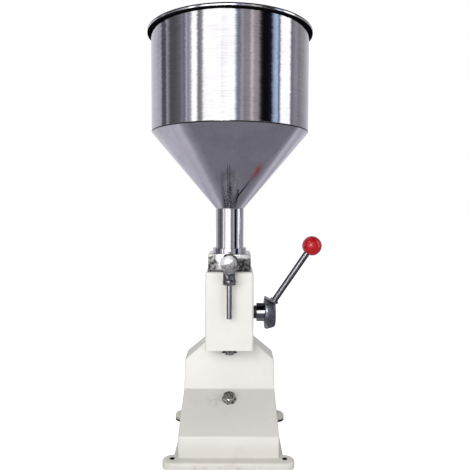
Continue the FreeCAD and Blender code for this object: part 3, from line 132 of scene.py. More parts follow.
def combine(piece, tool, operation):
    """Cut, join or intersect a piece with a tool, and drop the tool."""
    finish_modifier(piece, "BOOLEAN", object=tool, operation=operation, solver="EXACT")
    bpy.data.objects.remove(tool)
    return piece


def turned(name, profile, segments=96, solid=False):
    """A turned piece round its own Z: a ring or disc drawn out along its profile."""
    deselect()
    radius, level = profile[0]
    fill = "NGON" if solid else "NOTHING"
    bpy.ops.mesh.primitive_circle_add(vertices=segments, radius=radius, fill_type=fill,
                                      location=(0, 0, level))
    piece = named(name)
    bpy.ops.object.transform_apply(location=True)
    edit(piece)
    bpy.ops.mesh.select_all(action="SELECT")
    for (r0, z0), (r1, z1) in zip(profile, profile[1:]):
        step = {"value": (0, 0, z1 - z0)}
        if solid:
            bpy.ops.mesh.extrude_region_move(TRANSFORM_OT_translate=step)
        else:
            bpy.ops.mesh.extrude_edges_move(TRANSFORM_OT_translate=step)
        if r1 == 0:
            bpy.ops.mesh.merge(type="CENTER")
        else:
            scale = r1 / r0
            bpy.ops.transform.resize(value=(scale, scale, 1), center_override=(0, 0, z1))
    bpy.ops.mesh.select_all(action="SELECT")
    bpy.ops.mesh.remove_doubles(threshold=1e-6)
    bpy.ops.mesh.normals_make_consistent(inside=False)
    leave()
    return piece


def arc(centre, radius, start, end, steps):
    """Points of an arc in a profile, angles in degrees from the outward direction."""
    r, z = centre
    points = []
    for index in range(steps + 1):
        angle = math.radians(start + (end - start) * index / steps)
        points.append((r + radius * math.cos(angle), z + radius * math.sin(angle)))
    return points


def hexed(name, across, low, high, slope=0.0, both=False):
    """A hexagon between two levels, its corners turned off at the top or at both ends."""
    deselect()
    corner = across / math.sqrt(3)
    bpy.ops.mesh.primitive_cylinder_add(vertices=6, radius=corner, depth=high - low,
                                        location=(0, 0, (low + high) / 2))
    piece = named(name)
    bpy.ops.object.transform_apply(location=True)
    if slope:
        # From just outside the corners to just inside the flats
        wide, narrow = corner * 1.02, across * 0.475
        drop = (wide - narrow) * slope
        profile = [(narrow, low), (wide, low + drop)] if both else [(wide, low)]
        profile += [(wide, high - drop), (narrow, high)]
        combine(piece, turned(name + "_form", profile, 96, solid=True), "INTERSECT")
    return piece


def move(piece, place=(0, 0, 0), axis=None, angle=0.0):
    """Turn a finished piece and put it at its place, in its mesh."""
    grab(piece)
    turn = Matrix.Rotation(angle, 4, axis) if axis else Matrix.Identity(4)
    piece.matrix_world = Matrix.Translation(place) @ turn
    bpy.ops.object.transform_apply(location=True, rotation=True, scale=True)
    return piece


def copied(piece, places):
    """Copy a piece, each copy with its own mesh, to several places and join them all."""
    made = []
    for place in places[1:]:
        grab(piece)
        bpy.ops.object.duplicate(linked=False)
        made.append(move(bpy.context.object, place))
    move(piece, places[0])
    for other in made:
        other.select_set(True)
    bpy.ops.object.join()
    return piece


def drill(piece, radius, low, high, spot=(0, 0, 0), segments=48):
    """Cut a round upright hole between two levels."""
    tool = turned("drill", [(radius, low), (radius, high)], segments, solid=True)
    return combine(piece, move(tool, (spot[0], spot[1], 0)), "DIFFERENCE")


def bore_back(piece, radius, start, depth, level):
    """Cut a round hole from a place in front of the block backwards."""
    tool = turned("bore", [(radius, 0), (radius, depth)], 48, solid=True)
    return combine(piece, move(tool, (0, start, level), "X", -math.pi / 2), "DIFFERENCE")


def hand_over(piece, body, slot, *nodes, angle=32, finish=None):
    """Shade, finish and hang a piece on its body in place of its CAD nodes."""
    grab(piece)
    bpy.ops.object.shade_smooth_by_angle(angle=math.radians(angle))
    piece.data.materials.clear()
    piece.data.materials.append(finish_of(finish or slot))
    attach(piece, body)
    if nodes:
        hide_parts(*nodes)
    return piece


def middle(node):
    """The middle of a CAD node's box."""
    low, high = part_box(node)
    return (low + high) / 2


def rod_line(sizes):
    """Where the handle rod's line crosses the shaft, and its direction."""
    shaft = middle("shaft_collar")
    along = Vector((math.sin(sizes.rod_lean), 0, math.cos(sizes.rod_lean)))
    return Vector((sizes.rod_cross, shaft.y, shaft.z)), along


# Shader helpers

class Signal:
    """A shader value; arithmetic on it adds Math nodes."""

    def __init__(self, finish, socket):
        self.finish = finish
        self.socket = socket

    def combined(self, operation, first, second):
        """Add one Math node for two values, either of which may be a plain number."""
        return self.finish.node("Math", {"operation": operation}, {0: first, 1: second})

    def __add__(self, other):
        return self.combined("ADD", self, other)

    def __radd__(self, other):
        return self.combined("ADD", other, self)

    def __sub__(self, other):
        return self.combined("SUBTRACT", self, other)

    def __rsub__(self, other):
        return self.combined("SUBTRACT", other, self)

    def __mul__(self, other):
        return self.combined("MULTIPLY", self, other)

    def __rmul__(self, other):
        return self.combined("MULTIPLY", other, self)

    def __truediv__(self, other):
        return self.combined("DIVIDE", self, other)

    def __pow__(self, other):
        return self.combined("POWER", self, other)


class Finish:
    """A node material, or a world's nodes, that is built up step by step."""

    def __init__(self, name, world=None):
        self.material = world or bpy.data.materials.new(name)
        self.material.use_nodes = True
        self.tree = self.material.node_tree
        self.tree.nodes.clear()
        self.place = self.node("TexCoord", {}, {}, "Object")

    def node(self, kind, settings, sockets, output=0):
        """Add a node, set it up, feed its sockets and return one of its outputs."""
        made = self.tree.nodes.new("ShaderNode" + kind)
        for key, value in settings.items():
            if key == "stops":
                self.set_stops(made.color_ramp, value)
            else:
                setattr(made, key, value)
        for key, value in sockets.items():
            if isinstance(value, Signal):
                self.tree.links.new(value.socket, made.inputs[key])
            else:
                made.inputs[key].default_value = value
        if not made.outputs:
            return made
        return Signal(self, made.outputs[output])

    def set_stops(self, ramp, stops):
        """Give a colour ramp its stops."""
        while len(ramp.elements) < len(stops):
            ramp.elements.new(1.0)
        for element, (position, colour) in zip(ramp.elements, stops):
            element.position = position
            element.color = colour

    def stretched(self, scale):
        """The piece's own coordinates, scaled along each axis."""
        return self.node("Mapping", {}, {"Vector": self.place, "Scale": scale})

    def noise(self, size, detail=2.0, rough=0.5, stretch=None):
        """Soft noise whose features are about the given size in metres."""
        place = self.stretched(stretch) if stretch else self.place
        return self.node("TexNoise", {}, {"Vector": place, "Scale": 1 / size, "Detail": detail,
                                          "Roughness": rough})

    def coordinate(self, axis):
        """One of the piece's own coordinates, in metres."""
        return self.node("SeparateXYZ", {}, {0: self.place}, axis)

    def near_to(self, point, near, far):
        """One close to a point, zero beyond the far distance."""
        distance = self.node("VectorMath", {"operation": "DISTANCE"},
                             {0: self.place, 1: point}, "Value")
        return self.step(distance, near, far, 1.0, 0.0)

    def band(self, offset, near, far):
        """One close to a line, zero beyond the far distance on both of its sides."""
        return self.step(self.size_of(offset), near, far, 1.0, 0.0)

    def size_of(self, value):
        """A value without its sign."""
        return self.node("Math", {"operation": "ABSOLUTE"}, {0: value})

    def least(self, first, *others):
        """The smallest of several values."""
        for other in others:
            first = self.node("Math", {"operation": "MINIMUM"}, {0: first, 1: other})
        return first

    def most(self, first, *others):
        """The largest of several values."""
        for other in others:
            first = self.node("Math", {"operation": "MAXIMUM"}, {0: first, 1: other})
        return first

    def ramp(self, value, stops):
        """A colour ramp through (position, (r, g, b)) stops."""
        stops = [(at, (*colour, 1)) for at, colour in stops]
        return self.node("ValToRGB", {"stops": stops}, {0: value})

    def stained(self, tint, colour, mask):
        """A tint multiplied by a colour where the mask is one, which paints shade and darker
        reflections.
        """
        darkening = self.mix(tone(WHITE), tone(colour), mask)
        return self.node("Mix", {"data_type": "RGBA", "blend_type": "MULTIPLY"},
                         {0: 1.0, 6: tint, 7: darkening}, 2)

    def step(self, value, low, high, start=0.0, end=1.0):
        """A smooth step of a value from one level to another."""
        return self.node("MapRange", {"interpolation_type": "SMOOTHSTEP"},
                         {"Value": value, "From Min": low, "From Max": high,
                          "To Min": start, "To Max": end})

    def mix(self, first, second, factor):
        """A colour between two colours."""
        return self.node("Mix", {"data_type": "RGBA"}, {0: factor, 6: first, 7: second}, 2)

    def bump(self, height, distance, strength):
        """A bumped normal; the height's one stands for the distance in metres."""
        return self.node("Bump", {}, {"Height": height, "Distance": distance, "Strength": strength})

    def shade(self, **sockets):
        """Close the material with one surface shader and return it."""
        inputs = {key.replace("_", " "): value for key, value in sockets.items()}
        surface = self.node("BsdfPrincipled", {}, inputs)
        self.node("OutputMaterial", {}, {"Surface": surface})
        return self.material

    def glow(self, colour):
        """Close the material with plain light of one colour and return it."""
        surface = self.node("Emission", {}, {"Color": colour})
        self.node("OutputMaterial", {}, {"Surface": surface})
        return self.material


def tone(colour, factor=1.0):
    """A colour made lighter or darker by a factor, with its alpha."""
    return (*[channel * factor for channel in tuple(colour)[:3]], 1.0)


FINISHES = {}
WHITE = (1.0, 1.0, 1.0)
BLACK = (0.0, 0.0, 0.0)

# Edges of the pedestal's front in section, each as back and up
TOE_EDGE = (-84 * MM, 45 * MM)
STAGE_EDGE = (14 * MM, 84 * MM)
ROOF_EDGE = (38 * MM, 160 * MM)

# Places of wear and dirt, and of painted shade, shadow and highlight
STAGE_SMEAR = (-22 * MM, -12 * MM, 74 * MM)
NOZZLE_SHADOW = (17 * MM, -37 * MM, 280 * MM)
CONE_CLOUD = (36 * MM, -30 * MM, 462 * MM)
HUB_HIGHLIGHT = (57 * MM, 0.0, 247.5 * MM)
HUB_SHADE = (70 * MM, -12 * MM, 240 * MM)
NECK_STRIPE = 18.1 * MM


def finish_of(slot):
    """The finish of a material slot, made at its first use."""
    if slot not in FINISHES:
        FINISHES[slot] = MAKERS[slot](slot, bpy.context.scene.filler_colours)
    return FINISHES[slot]


def cream_paint(name, colours):
    """Thick cream enamel on castings and sheet: soft waves, orange peel, light grime and painted
    shade.
    """
    f = Finish(name)
    cream, dirt = colours.cream, colours.grime
    cloud = f.noise(0.03, 3.0)
    peel = f.noise(0.0022, 2.0)
    height = f.coordinate("Z")
    grime = foot_grime(f)
    smear = f.near_to(STAGE_SMEAR, 4 * MM, 22 * MM) * f.step(f.noise(0.006, 3.0), 0.3, 0.7)
    speck = f.step(f.noise(0.003, 1.0), 0.76, 0.82)
    many = f.step(height, 20 * MM, 100 * MM, 0.45, 0.08)
    tint = f.mix(tone(cream, 0.95), tone(cream), f.step(f.noise(0.16, 2.0), 0.3, 0.65))
    tint = f.mix(tint, tone(cream, 0.90), f.step(cloud, 0.55, 0.8) * 0.5)
    tint = f.mix(tint, tone(dirt), grime)
    tint = f.mix(tint, tone(dirt, 1.3), smear * 0.5)
    tint = f.mix(tint, tone(dirt, 0.8), speck * many)
    # Painted shade on the pedestal and its foot, and a painted shadow beside the nozzle
    tint = enamel_shades(f, tint, height)
    # Painted shade, nearly black, inside the pedestal, in its holes and notch and under its rear lugs
    tint = f.mix(tint, tone(dirt, 0.04), bare_places(f))
    waves = cloud * 0.8 + peel * 0.12
    return f.shade(Base_Color=tint, Roughness=0.34 + cloud * 0.16 + grime * 0.3,
                   Specular_IOR_Level=0.32, Coat_Weight=0.08, Coat_Roughness=0.2,
                   Normal=f.bump(waves, 0.0006, 0.5))


def foot_grime(f):
    """Dirt that rises in patches from the foot of the base plate."""
    foot = f.step(f.coordinate("Z"), 2 * MM, 16 * MM, 1.0, 0.0)
    return foot * f.step(f.noise(0.022, 5.0, 0.7), 0.42, 0.72) * 0.7


def enamel_shades(f, tint, height):
    """Painted shade: the pedestal a little darker than the column, its foot darker still, and a
    painted shadow beside the nozzle.
    """
    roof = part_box("pedestal_shell")[1].z
    pedestal = f.step(height, roof + 0.2 * MM, roof - 0.2 * MM)
    # Painted shade: the pedestal darker than the column
    tint = f.stained(tint, (0.95, 0.945, 0.94), pedestal)
    # Painted shade: darker still towards the foot
    tint = f.stained(tint, (0.92, 0.915, 0.905), f.step(height, 40 * MM, 22 * MM))
    # Painted shadow of the nozzle on the column's front
    return f.stained(tint, (0.84, 0.835, 0.84), f.near_to(NOZZLE_SHADOW, 4 * MM, 28 * MM))


def depth_behind(f, start, end):
    """How far a place lies behind the pedestal's face between two of its edges."""
    run, rise = end[0] - start[0], end[1] - start[1]
    length = math.hypot(run, rise)
    back, up = f.coordinate("Y") - start[0], f.coordinate("Z") - start[1]
    return back * (rise / length) - up * (run / length)


def bare_places(f):
    """One inside the pedestal, in the bolt holes, under the rear lugs and in the dose screw's notch,
    where shade is painted.
    """
    shell_low, shell_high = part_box("pedestal_shell")
    pump = middle("pump_cylinder")
    bolts = next(mount["dims"] for mount in frame["record"]["mounts"] if mount["name"] == "base_bolts")
    across, back, height = f.size_of(f.coordinate("X")), f.coordinate("Y"), f.coordinate("Z")
    depth = f.least(shell_high.x - across, shell_high.y - back, shell_high.z - height,
                    depth_behind(f, STAGE_EDGE, ROOF_EDGE), depth_behind(f, TOE_EDGE, STAGE_EDGE))
    # Painted shade on the pedestal's inner faces
    inside = f.step(depth, 3.2 * MM, 3.6 * MM)
    inside = inside * f.step(height, shell_low.z + 0.1 * MM, shell_low.z + 0.2 * MM)
    x, y = across - bolts["spacing_x_mm"] / 2 * MM, f.size_of(back) - bolts["spacing_y_mm"] / 2 * MM
    rim = bolts["hole_r_mm"] * MM
    # Painted shade in the bolt holes
    hole = f.step((x * x + y * y) ** 0.5, rim + 0.1 * MM, rim + 1.1 * MM, 1.0, 0.0)
    # Painted shadow under the rear lugs
    rear_foot = f.step(height, 4.2 * MM, 3.2 * MM) * f.step(back, 50 * MM, 60 * MM)
    reach = (across * across + (back - pump.y) * (back - pump.y)) ** 0.5
    # Painted shade in the dose screw's notch
    notch = f.step(reach, 16.2 * MM, 16.5 * MM, 1.0, 0.0) * f.step(height, 140.5 * MM, 140.9 * MM)
    return f.most(inside, hole, rear_foot, notch)


def steel(name, colour, rough, grain, stretch, cloud_size=0.05, spread=0.08, relief=0.00002):
    """Bare steel with fine grain along one direction and soft clouds of wear."""
    f = Finish(name)
    lines = f.noise(grain, 3.0, 0.6, stretch)
    cloud = f.noise(cloud_size, 4.0, 0.6)
    scratch = f.step(f.noise(grain * 2.5, 2.0, 0.6, stretch), 0.62, 0.74)
    tint = f.mix(tone(colour, 0.86), tone(colour), f.step(cloud * 0.7 + lines * 0.3, 0.3, 0.62))
    tint = f.mix(tint, tone(colour, 0.7), scratch * 0.35)
    wear = lines * spread * 0.5 + cloud * spread + scratch * 0.05 + dulled(f) * 0.4
    return f.shade(Base_Color=tint, Metallic=1.0, Roughness=rough + wear,
                   Normal=f.bump(lines, relief, 0.6))


def weld_line(f):
    """One along the ground weld between the bowl and the cone."""
    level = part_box("hopper_bowl")[0].z + 0.2 * MM
    return f.band(f.coordinate("Z") - level, 0.6 * MM, 1.3 * MM)


def dulled(f):
    """One along a stripe beside the handle that hands have dulled."""
    side = f.band(f.coordinate("X") - NECK_STRIPE, 1.0 * MM, 2.4 * MM)
    below = f.step(f.coordinate("Z"), 385 * MM, 370 * MM)
    front = f.step(f.coordinate("Y"), 12 * MM, 8 * MM)
    return side * below * front


def polished_steel(name, colours):
    """Polished sheet with grinding lines and shallow waves that run round the hopper."""
    f = Finish(name)
    colour = colours.steel
    lines = f.noise(0.03, 4.0, 0.7, (1.0, 1.0, 30.0))
    waves = f.noise(0.045, 2.0, 0.5, (1.0, 1.0, 9.0))
    cloud = f.noise(0.06, 4.0, 0.6)
    scratch = f.step(f.noise(0.05, 2.0, 0.6, (1.0, 1.0, 60.0)), 0.60, 0.70)
    tint = f.mix(tone(colour, 0.80), tone(colour), f.step(cloud * 0.4 + lines * 0.6, 0.32, 0.6))
    tint = f.mix(tint, tone(colour, 0.72), scratch * 0.5)
    weld = weld_line(f)
    tint = f.mix(tint, (0.02, 0.02, 0.023, 1), weld)
    return f.shade(Base_Color=tint, Metallic=1.0 - weld * 0.9, Specular_IOR_Level=0.1,
                   Roughness=0.015 + lines * 0.04 + cloud * 0.02 + dulled(f) * 0.5,
                   Normal=f.bump(waves + lines * 0.12, 0.00035, 0.8))


def cone_steel(name, colours):
    """The same sheet left duller on the cone, clouded by the planishing, with a painted darker
    reflection low in front and the nozzle tube's reflection painted as two dark lines.
    """
    f = Finish(name)
    colour = colours.steel
    cloud = f.noise(0.03, 4.0, 0.6)
    fine = f.noise(0.004, 3.0, 0.6)
    lines = f.noise(0.02, 3.0, 0.6, (1.0, 1.0, 14.0))
    tint = f.mix(tone(colour, 0.88), tone(colour), f.step(cloud * 0.7 + fine * 0.3, 0.36, 0.62))
    foot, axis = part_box("hopper_cone")[0].z, middle("hopper_cone").y
    rise, across = f.coordinate("Z") - foot, f.size_of(f.coordinate("X") + MM)
    front = f.step(f.coordinate("Y"), axis, axis - 4 * MM)
    # Painted darker reflection low on the cone's front
    darkening = f.step(across, 15 * MM, 8 * MM) * f.step(rise, 61.7 * MM, 51.7 * MM) * front
    # Painted reflection of the nozzle tube: two dark lines down the front
    tube_reflection = f.band(across - 1.7 * MM, 0.4 * MM, 1.1 * MM) * f.step(rise, 71.7 * MM, 59.7 * MM) * front
    cloudy = f.near_to(CONE_CLOUD, 20 * MM, 45 * MM)
    tint = f.stained(tint, (0.52, 0.52, 0.57), darkening)
    tint = f.mix(tint, (0.05, 0.05, 0.055, 1), f.most(tube_reflection * 0.75, weld_line(f)))
    rough = 0.015 + cloud * 0.03 + fine * 0.01 + darkening * 0.18 + cloudy * 0.16
    return f.shade(Base_Color=tint, Metallic=1.0, Roughness=rough,
                   Normal=f.bump(cloud + fine * 0.03 + lines * 0.05, 0.00015, 0.5))


def rim_steel(name, colours):
    """The rolled bead with painted reflections: dark above, bright steel in a band near its crown,
    dark beneath.
    """
    f = Finish(name)
    low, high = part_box("rim_bead")
    share = (f.coordinate("Z") - low.z) / (high.z - low.z)
    grain = f.noise(0.012, 3.0, 0.6, (1.0, 1.0, 14.0))
    # Painted reflections: dark above and below a bright band, the dark beneath also painted shade in
    # the fold
    crown = f.ramp(share + grain * 0.04 - 0.02, [
        (0.0, BLACK), (0.46, BLACK), (0.50, WHITE), (0.68, WHITE), (0.72, BLACK)])
    tint = f.mix((0.006, 0.006, 0.007, 1), tone(colours.steel, 1.3), crown)
    return f.shade(Base_Color=tint, Metallic=crown, Roughness=0.30 - crown * 0.2,
                   Specular_IOR_Level=0.0, Normal=f.bump(grain, 0.00004, 0.6))


def valve_steel(name, colours):
    """Cast and ground valve steel, cloudy and a little pitted."""
    f = Finish(name)
    cloud = f.noise(0.014, 5.0, 0.65)
    pits = f.step(f.noise(0.0016, 2.0), 0.70, 0.82)
    patch = f.step(cloud, 0.36, 0.62)
    tint = f.mix(tone(colours.valve, 0.5), tone(colours.valve), patch)
    tint = f.mix(tint, tone(colours.valve, 0.35), pits * 0.4)
    return f.shade(Base_Color=tint, Metallic=1.0, Roughness=0.26 - patch * 0.12 + pits * 0.15,
                   Normal=f.bump(cloud - pits * 0.3, 0.0003, 0.5))


def block_steel(name, colours):
    """Ground faces of the valve block, with mottled painted dark reflections towards their sides and
    painted shade at the foot.
    """
    f = Finish(name)
    low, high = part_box("valve_block")
    cloud = f.noise(0.012, 4.0, 0.65)
    mottle = f.step(f.noise(0.0042, 3.0, 0.6), 0.40, 0.58)
    x, height = f.coordinate("X"), f.coordinate("Z")
    depth = f.size_of(f.coordinate("Y") - (low.y + high.y) / 2) - high.x
    # Painted dark reflections on the left and right, mottled, eased near the top on the right where
    # the face is left bright
    left = f.step(depth - x + cloud * 0.012, 22 * MM, 30 * MM)
    right = f.step(depth + x + cloud * 0.010, 15 * MM, 21 * MM)
    eased_near_top = f.step(height + cloud * 0.004, high.z - 3 * MM, high.z - 6.7 * MM, 0.25, 1.0)
    # Painted shade at the foot
    foot = f.step(height + cloud * 0.006, low.z + 10 * MM, low.z + 4 * MM)
    # The top face is kept out of the painted darkness
    below_top_face = f.step(height, high.z - 1.0 * MM, high.z - 0.5 * MM, 1.0, 0.0)
    painted_dark_reflections = f.most(left * (0.52 + mottle * 0.44), right * eased_near_top * (0.80 + mottle * 0.19), foot * 0.85)
    dark = painted_dark_reflections * below_top_face
    tint = f.mix(tone(colours.valve, 1.15), (0.012, 0.011, 0.013, 1), dark)
    return f.shade(Base_Color=tint, Metallic=1.0 - dark * 0.9, Specular_IOR_Level=0.05,
                   Roughness=0.20 + cloud * 0.12 + dark * 0.2,
                   Normal=f.bump(cloud + mottle * 0.15, 0.0006, 0.5))


def cap_steel(name, colours):
    """Ball-shaped cap, blasted and pitted, with a painted highlight on its upper left, painted shade
    below and a painted dark arc round its top and right.
    """
    f = Finish(name)
    low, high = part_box("discharge_cap")
    centre = high.z - (high.x - low.x) / 2
    x, height = f.coordinate("X"), f.coordinate("Z") - centre
    cloud = f.noise(0.006, 4.0, 0.65)
    pits = f.step(f.noise(0.0024, 3.0, 0.6), 0.42, 0.58)
    patches = f.most(pits * 0.7, f.step(cloud, 0.52, 0.64))
    # Painted highlight on the upper left
    within = f.least(height - x * 0.34 - 1.2 * MM, 6.2 * MM - x)
    bright = f.step(within + cloud * 0.003, 0.8 * MM, 2.4 * MM)
    # Painted shadow in an arc round the top and right edge
    outline = f.step((x * x + height * height) ** 0.5, 11.8 * MM, 13.4 * MM)
    arc = outline * f.step(x + height, 0.0, 3 * MM)
    tint = f.mix((0.50, 0.49, 0.50, 1), (0.13, 0.125, 0.13, 1), patches)
    # Painted shade under the ball
    tint = f.mix(tint, (0.05, 0.05, 0.055, 1), f.step(height, -10 * MM, -13 * MM, 0.0, 0.5))
    tint = f.mix(tint, (0.95, 0.95, 0.96, 1), bright)
    tint = f.mix(tint, (0.01, 0.01, 0.012, 1), arc)
    return f.shade(Base_Color=tint, Metallic=0.45 - arc * 0.4, Specular_IOR_Level=0.2,
                   Roughness=0.30 + cloud * 0.14, Normal=f.bump(cloud - pits * 0.3, 0.0004, 0.7))


def nut_steel(name, colours):
    """Nuts of the nozzle and the handle, darker, with rubbed corners."""
    f = Finish(name)
    cloud = f.noise(0.0035, 4.0, 0.65)
    rubbed = f.step(cloud, 0.50, 0.62)
    tint = f.mix(tone(colours.valve, 0.16), tone(colours.valve, 1.0), rubbed * 0.8)
    return f.shade(Base_Color=tint, Metallic=1.0, Roughness=0.24 + cloud * 0.1,
                   Normal=f.bump(cloud, 0.0005, 0.6))


def tube_steel(name, colours):
    """Filling tube, bright in front, with painted dark reflections along its sides."""
    f = Finish(name)
    cloud = f.noise(0.006, 3.0, 0.6, (1.0, 1.0, 0.2))
    # Painted dark reflections down the tube's sides
    side = f.step(f.size_of(f.coordinate("X")) + cloud * 0.001, 1.6 * MM, 3.6 * MM)
    tint = f.mix(tone(colours.steel, 0.92), tone(colours.valve, 0.10), side)
    return f.shade(Base_Color=tint, Metallic=1.0, Roughness=0.14 + cloud * 0.1,
                   Normal=f.bump(cloud, 0.0001, 0.5))


def dark_steel(name, colours):
    """Cast handle parts, blued and oiled, with bright rubbed spots, a painted highlight on the hub's
    top and a painted shadow by the rod's foot.
    """
    f = Finish(name)
    cloud = f.noise(0.006, 4.0, 0.6)
    fine = f.noise(0.0012, 2.0)
    rubbed = f.step(cloud, 0.50, 0.68)
    # Painted highlight on the hub's top
    hub_highlight = f.near_to(HUB_HIGHLIGHT, 2 * MM, 6.5 * MM)
    # Painted shadow by the rod's foot
    shade = f.near_to(HUB_SHADE, 6 * MM, 11 * MM)
    tint = f.mix(tone(colours.dark, 0.85), tone(colours.dark, 1.7), rubbed * 0.8)
    tint = f.mix(tint, tone(colours.dark, 3.0), hub_highlight)
    tint = f.mix(tint, tone(colours.dark, 0.06), shade * 0.95)
    return f.shade(Base_Color=tint, Metallic=0.95 - shade * 0.8, Specular_IOR_Level=0.3,
                   Roughness=0.24 + fine * 0.1 - rubbed * 0.06,
                   Normal=f.bump(cloud + fine * 0.2, 0.0004, 0.5))


def rod_steel(name, colours):
    """Drawn handle rod, blued, with painted shade along its sides."""
    f = Finish(name)
    cross, along = rod_line(bpy.context.scene.filler_sizes)
    cloud = f.noise(0.02, 4.0, 0.6)
    side = (f.coordinate("X") - cross.x) * along.z - (f.coordinate("Z") - cross.z) * along.x
    # Painted shade along both sides of the rod
    edge = f.step(f.size_of(side + 0.4 * MM) + cloud * 0.0006, 3.4 * MM, 4.6 * MM)
    tint = f.mix(tone(colours.rod, 0.75), tone(colours.rod, 1.1), f.step(cloud, 0.35, 0.65))
    tint = f.mix(tint, tone(colours.rod, 0.05), edge)
    return f.shade(Base_Color=tint, Metallic=1.0 - edge * 0.85, Specular_IOR_Level=0.2,
                   Roughness=0.24 + cloud * 0.10, Normal=f.bump(cloud, 0.0001, 0.4))


def screw_steel(name, colours):
    """Zinc plated fasteners with dull and dirty patches."""
    f = Finish(name)
    cloud = f.noise(0.004, 4.0, 0.6)
    dirt = f.step(cloud, 0.44, 0.62)
    tint = f.mix(tone(colours.zinc, 1.3), tone(colours.zinc, 0.08), dirt * 0.95)
    return f.shade(Base_Color=tint, Metallic=0.95, Roughness=0.14 + dirt * 0.3,
                   Normal=f.bump(cloud, 0.0008, 0.7))


def machined_steel(name, colours):
    """Turned and milled inner parts with fine tool marks."""
    return steel(name, colours.machined, 0.2, 0.006, (1.0, 1.0, 8.0), 0.03, 0.12)


def turned_steel(name, colours):
    """Bright turned rings."""
    return steel(name, colours.steel, 0.04, 0.004, (1.0, 1.0, 8.0), 0.02, 0.08)


def collar_steel(name, colours):
    """Turned ring of the handle with painted reflections: dark bands round one bright band."""
    f = Finish(name)
    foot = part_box("shaft_collar")[0].z + 0.8 * MM
    lines = f.noise(0.004, 3.0, 0.6, (8.0, 1.0, 1.0))
    share = (f.coordinate("Z") + lines * 0.0006 - foot) / (30 * MM)
    # Painted reflections: dark above and below one bright band
    bands = f.ramp(share, [
        (0.0, (0.10, 0.11, 0.13)), (0.50, (0.26, 0.28, 0.33)), (0.53, (0.03, 0.03, 0.035)),
        (0.56, (0.9, 0.9, 0.9)), (0.66, (0.9, 0.9, 0.9)), (0.69, (0.01, 0.01, 0.012)),
        (0.90, (0.02, 0.02, 0.022)), (0.95, (0.12, 0.12, 0.12))])
    return f.shade(Base_Color=bands, Metallic=1.0, Roughness=0.08 + lines * 0.08,
                   Normal=f.bump(lines, 0.00002, 0.6))


def spring_steel(name, colours):
    """Drawn spring wire."""
    return steel(name, colours.machined, 0.25, 0.002, (1.0, 1.0, 1.0), 0.01, 0.1)


def bronze(name, colours):
    """Oiled bearing bronze."""
    return steel(name, colours.bronze, 0.28, 0.006, (1.0, 1.0, 6.0), 0.02, 0.14)


def plain_dark(name, colour, rough, size):
    """Black plastic or rubber with a faint grain and rubbed grey patches."""
    f = Finish(name)
    grain = f.noise(size, 3.0)
    cloud = f.noise(0.012, 3.0)
    tint = f.mix(tone(colour), tone(colour, 2.2), f.step(cloud, 0.45, 0.75) * 0.5)
    return f.shade(Base_Color=tint, Roughness=rough + cloud * 0.15,
                   Normal=f.bump(grain, 0.0002, 0.4))


def black_bush(name, colours):
    """Hard bearing plastic of the shaft bushes."""
    return plain_dark(name, colours.bush, 0.38, 0.001)


def seal_rubber(name, colours):
    """Soft black rubber of the seals."""
    return plain_dark(name, colours.rubber, 0.55, 0.0008)


def red_gloss(name, colours):
    """Glossy moulded red with a faint swirl under its skin."""
    f = Finish(name)
    swirl = f.noise(0.03, 2.0, 0.5)
    tint = f.mix(tone(colours.red, 0.86), tone(colours.red), f.step(swirl, 0.35, 0.6))
    return f.shade(Base_Color=tint, Roughness=0.09 + swirl * 0.03, Specular_IOR_Level=0.5,
                   Normal=f.bump(swirl, 0.00004, 0.05))


# Each maker's name is the name of its finish
MAKERS = {maker.__name__: maker for maker in (
    cream_paint, polished_steel, cone_steel, rim_steel, valve_steel, block_steel, cap_steel, nut_steel,
    tube_steel, collar_steel, dark_steel, rod_steel, turned_steel, screw_steel, machined_steel,
    spring_steel, bronze, black_bush, red_gloss, seal_rubber)}


# Settings

def size_setting(name, value, text):
    return bpy.props.FloatProperty(name=name, description=text, default=value, min=0.0,
                                   unit="LENGTH", precision=5)


def angle_setting(name, value, text):
    return bpy.props.FloatProperty(name=name, description=text, default=math.radians(value),
                                   subtype="ANGLE", unit="ROTATION")


def colour_setting(name, value, text):
    return bpy.props.FloatVectorProperty(name=name, description=text, default=value, size=3,
                                         min=0.0, max=1.0, subtype="COLOR")


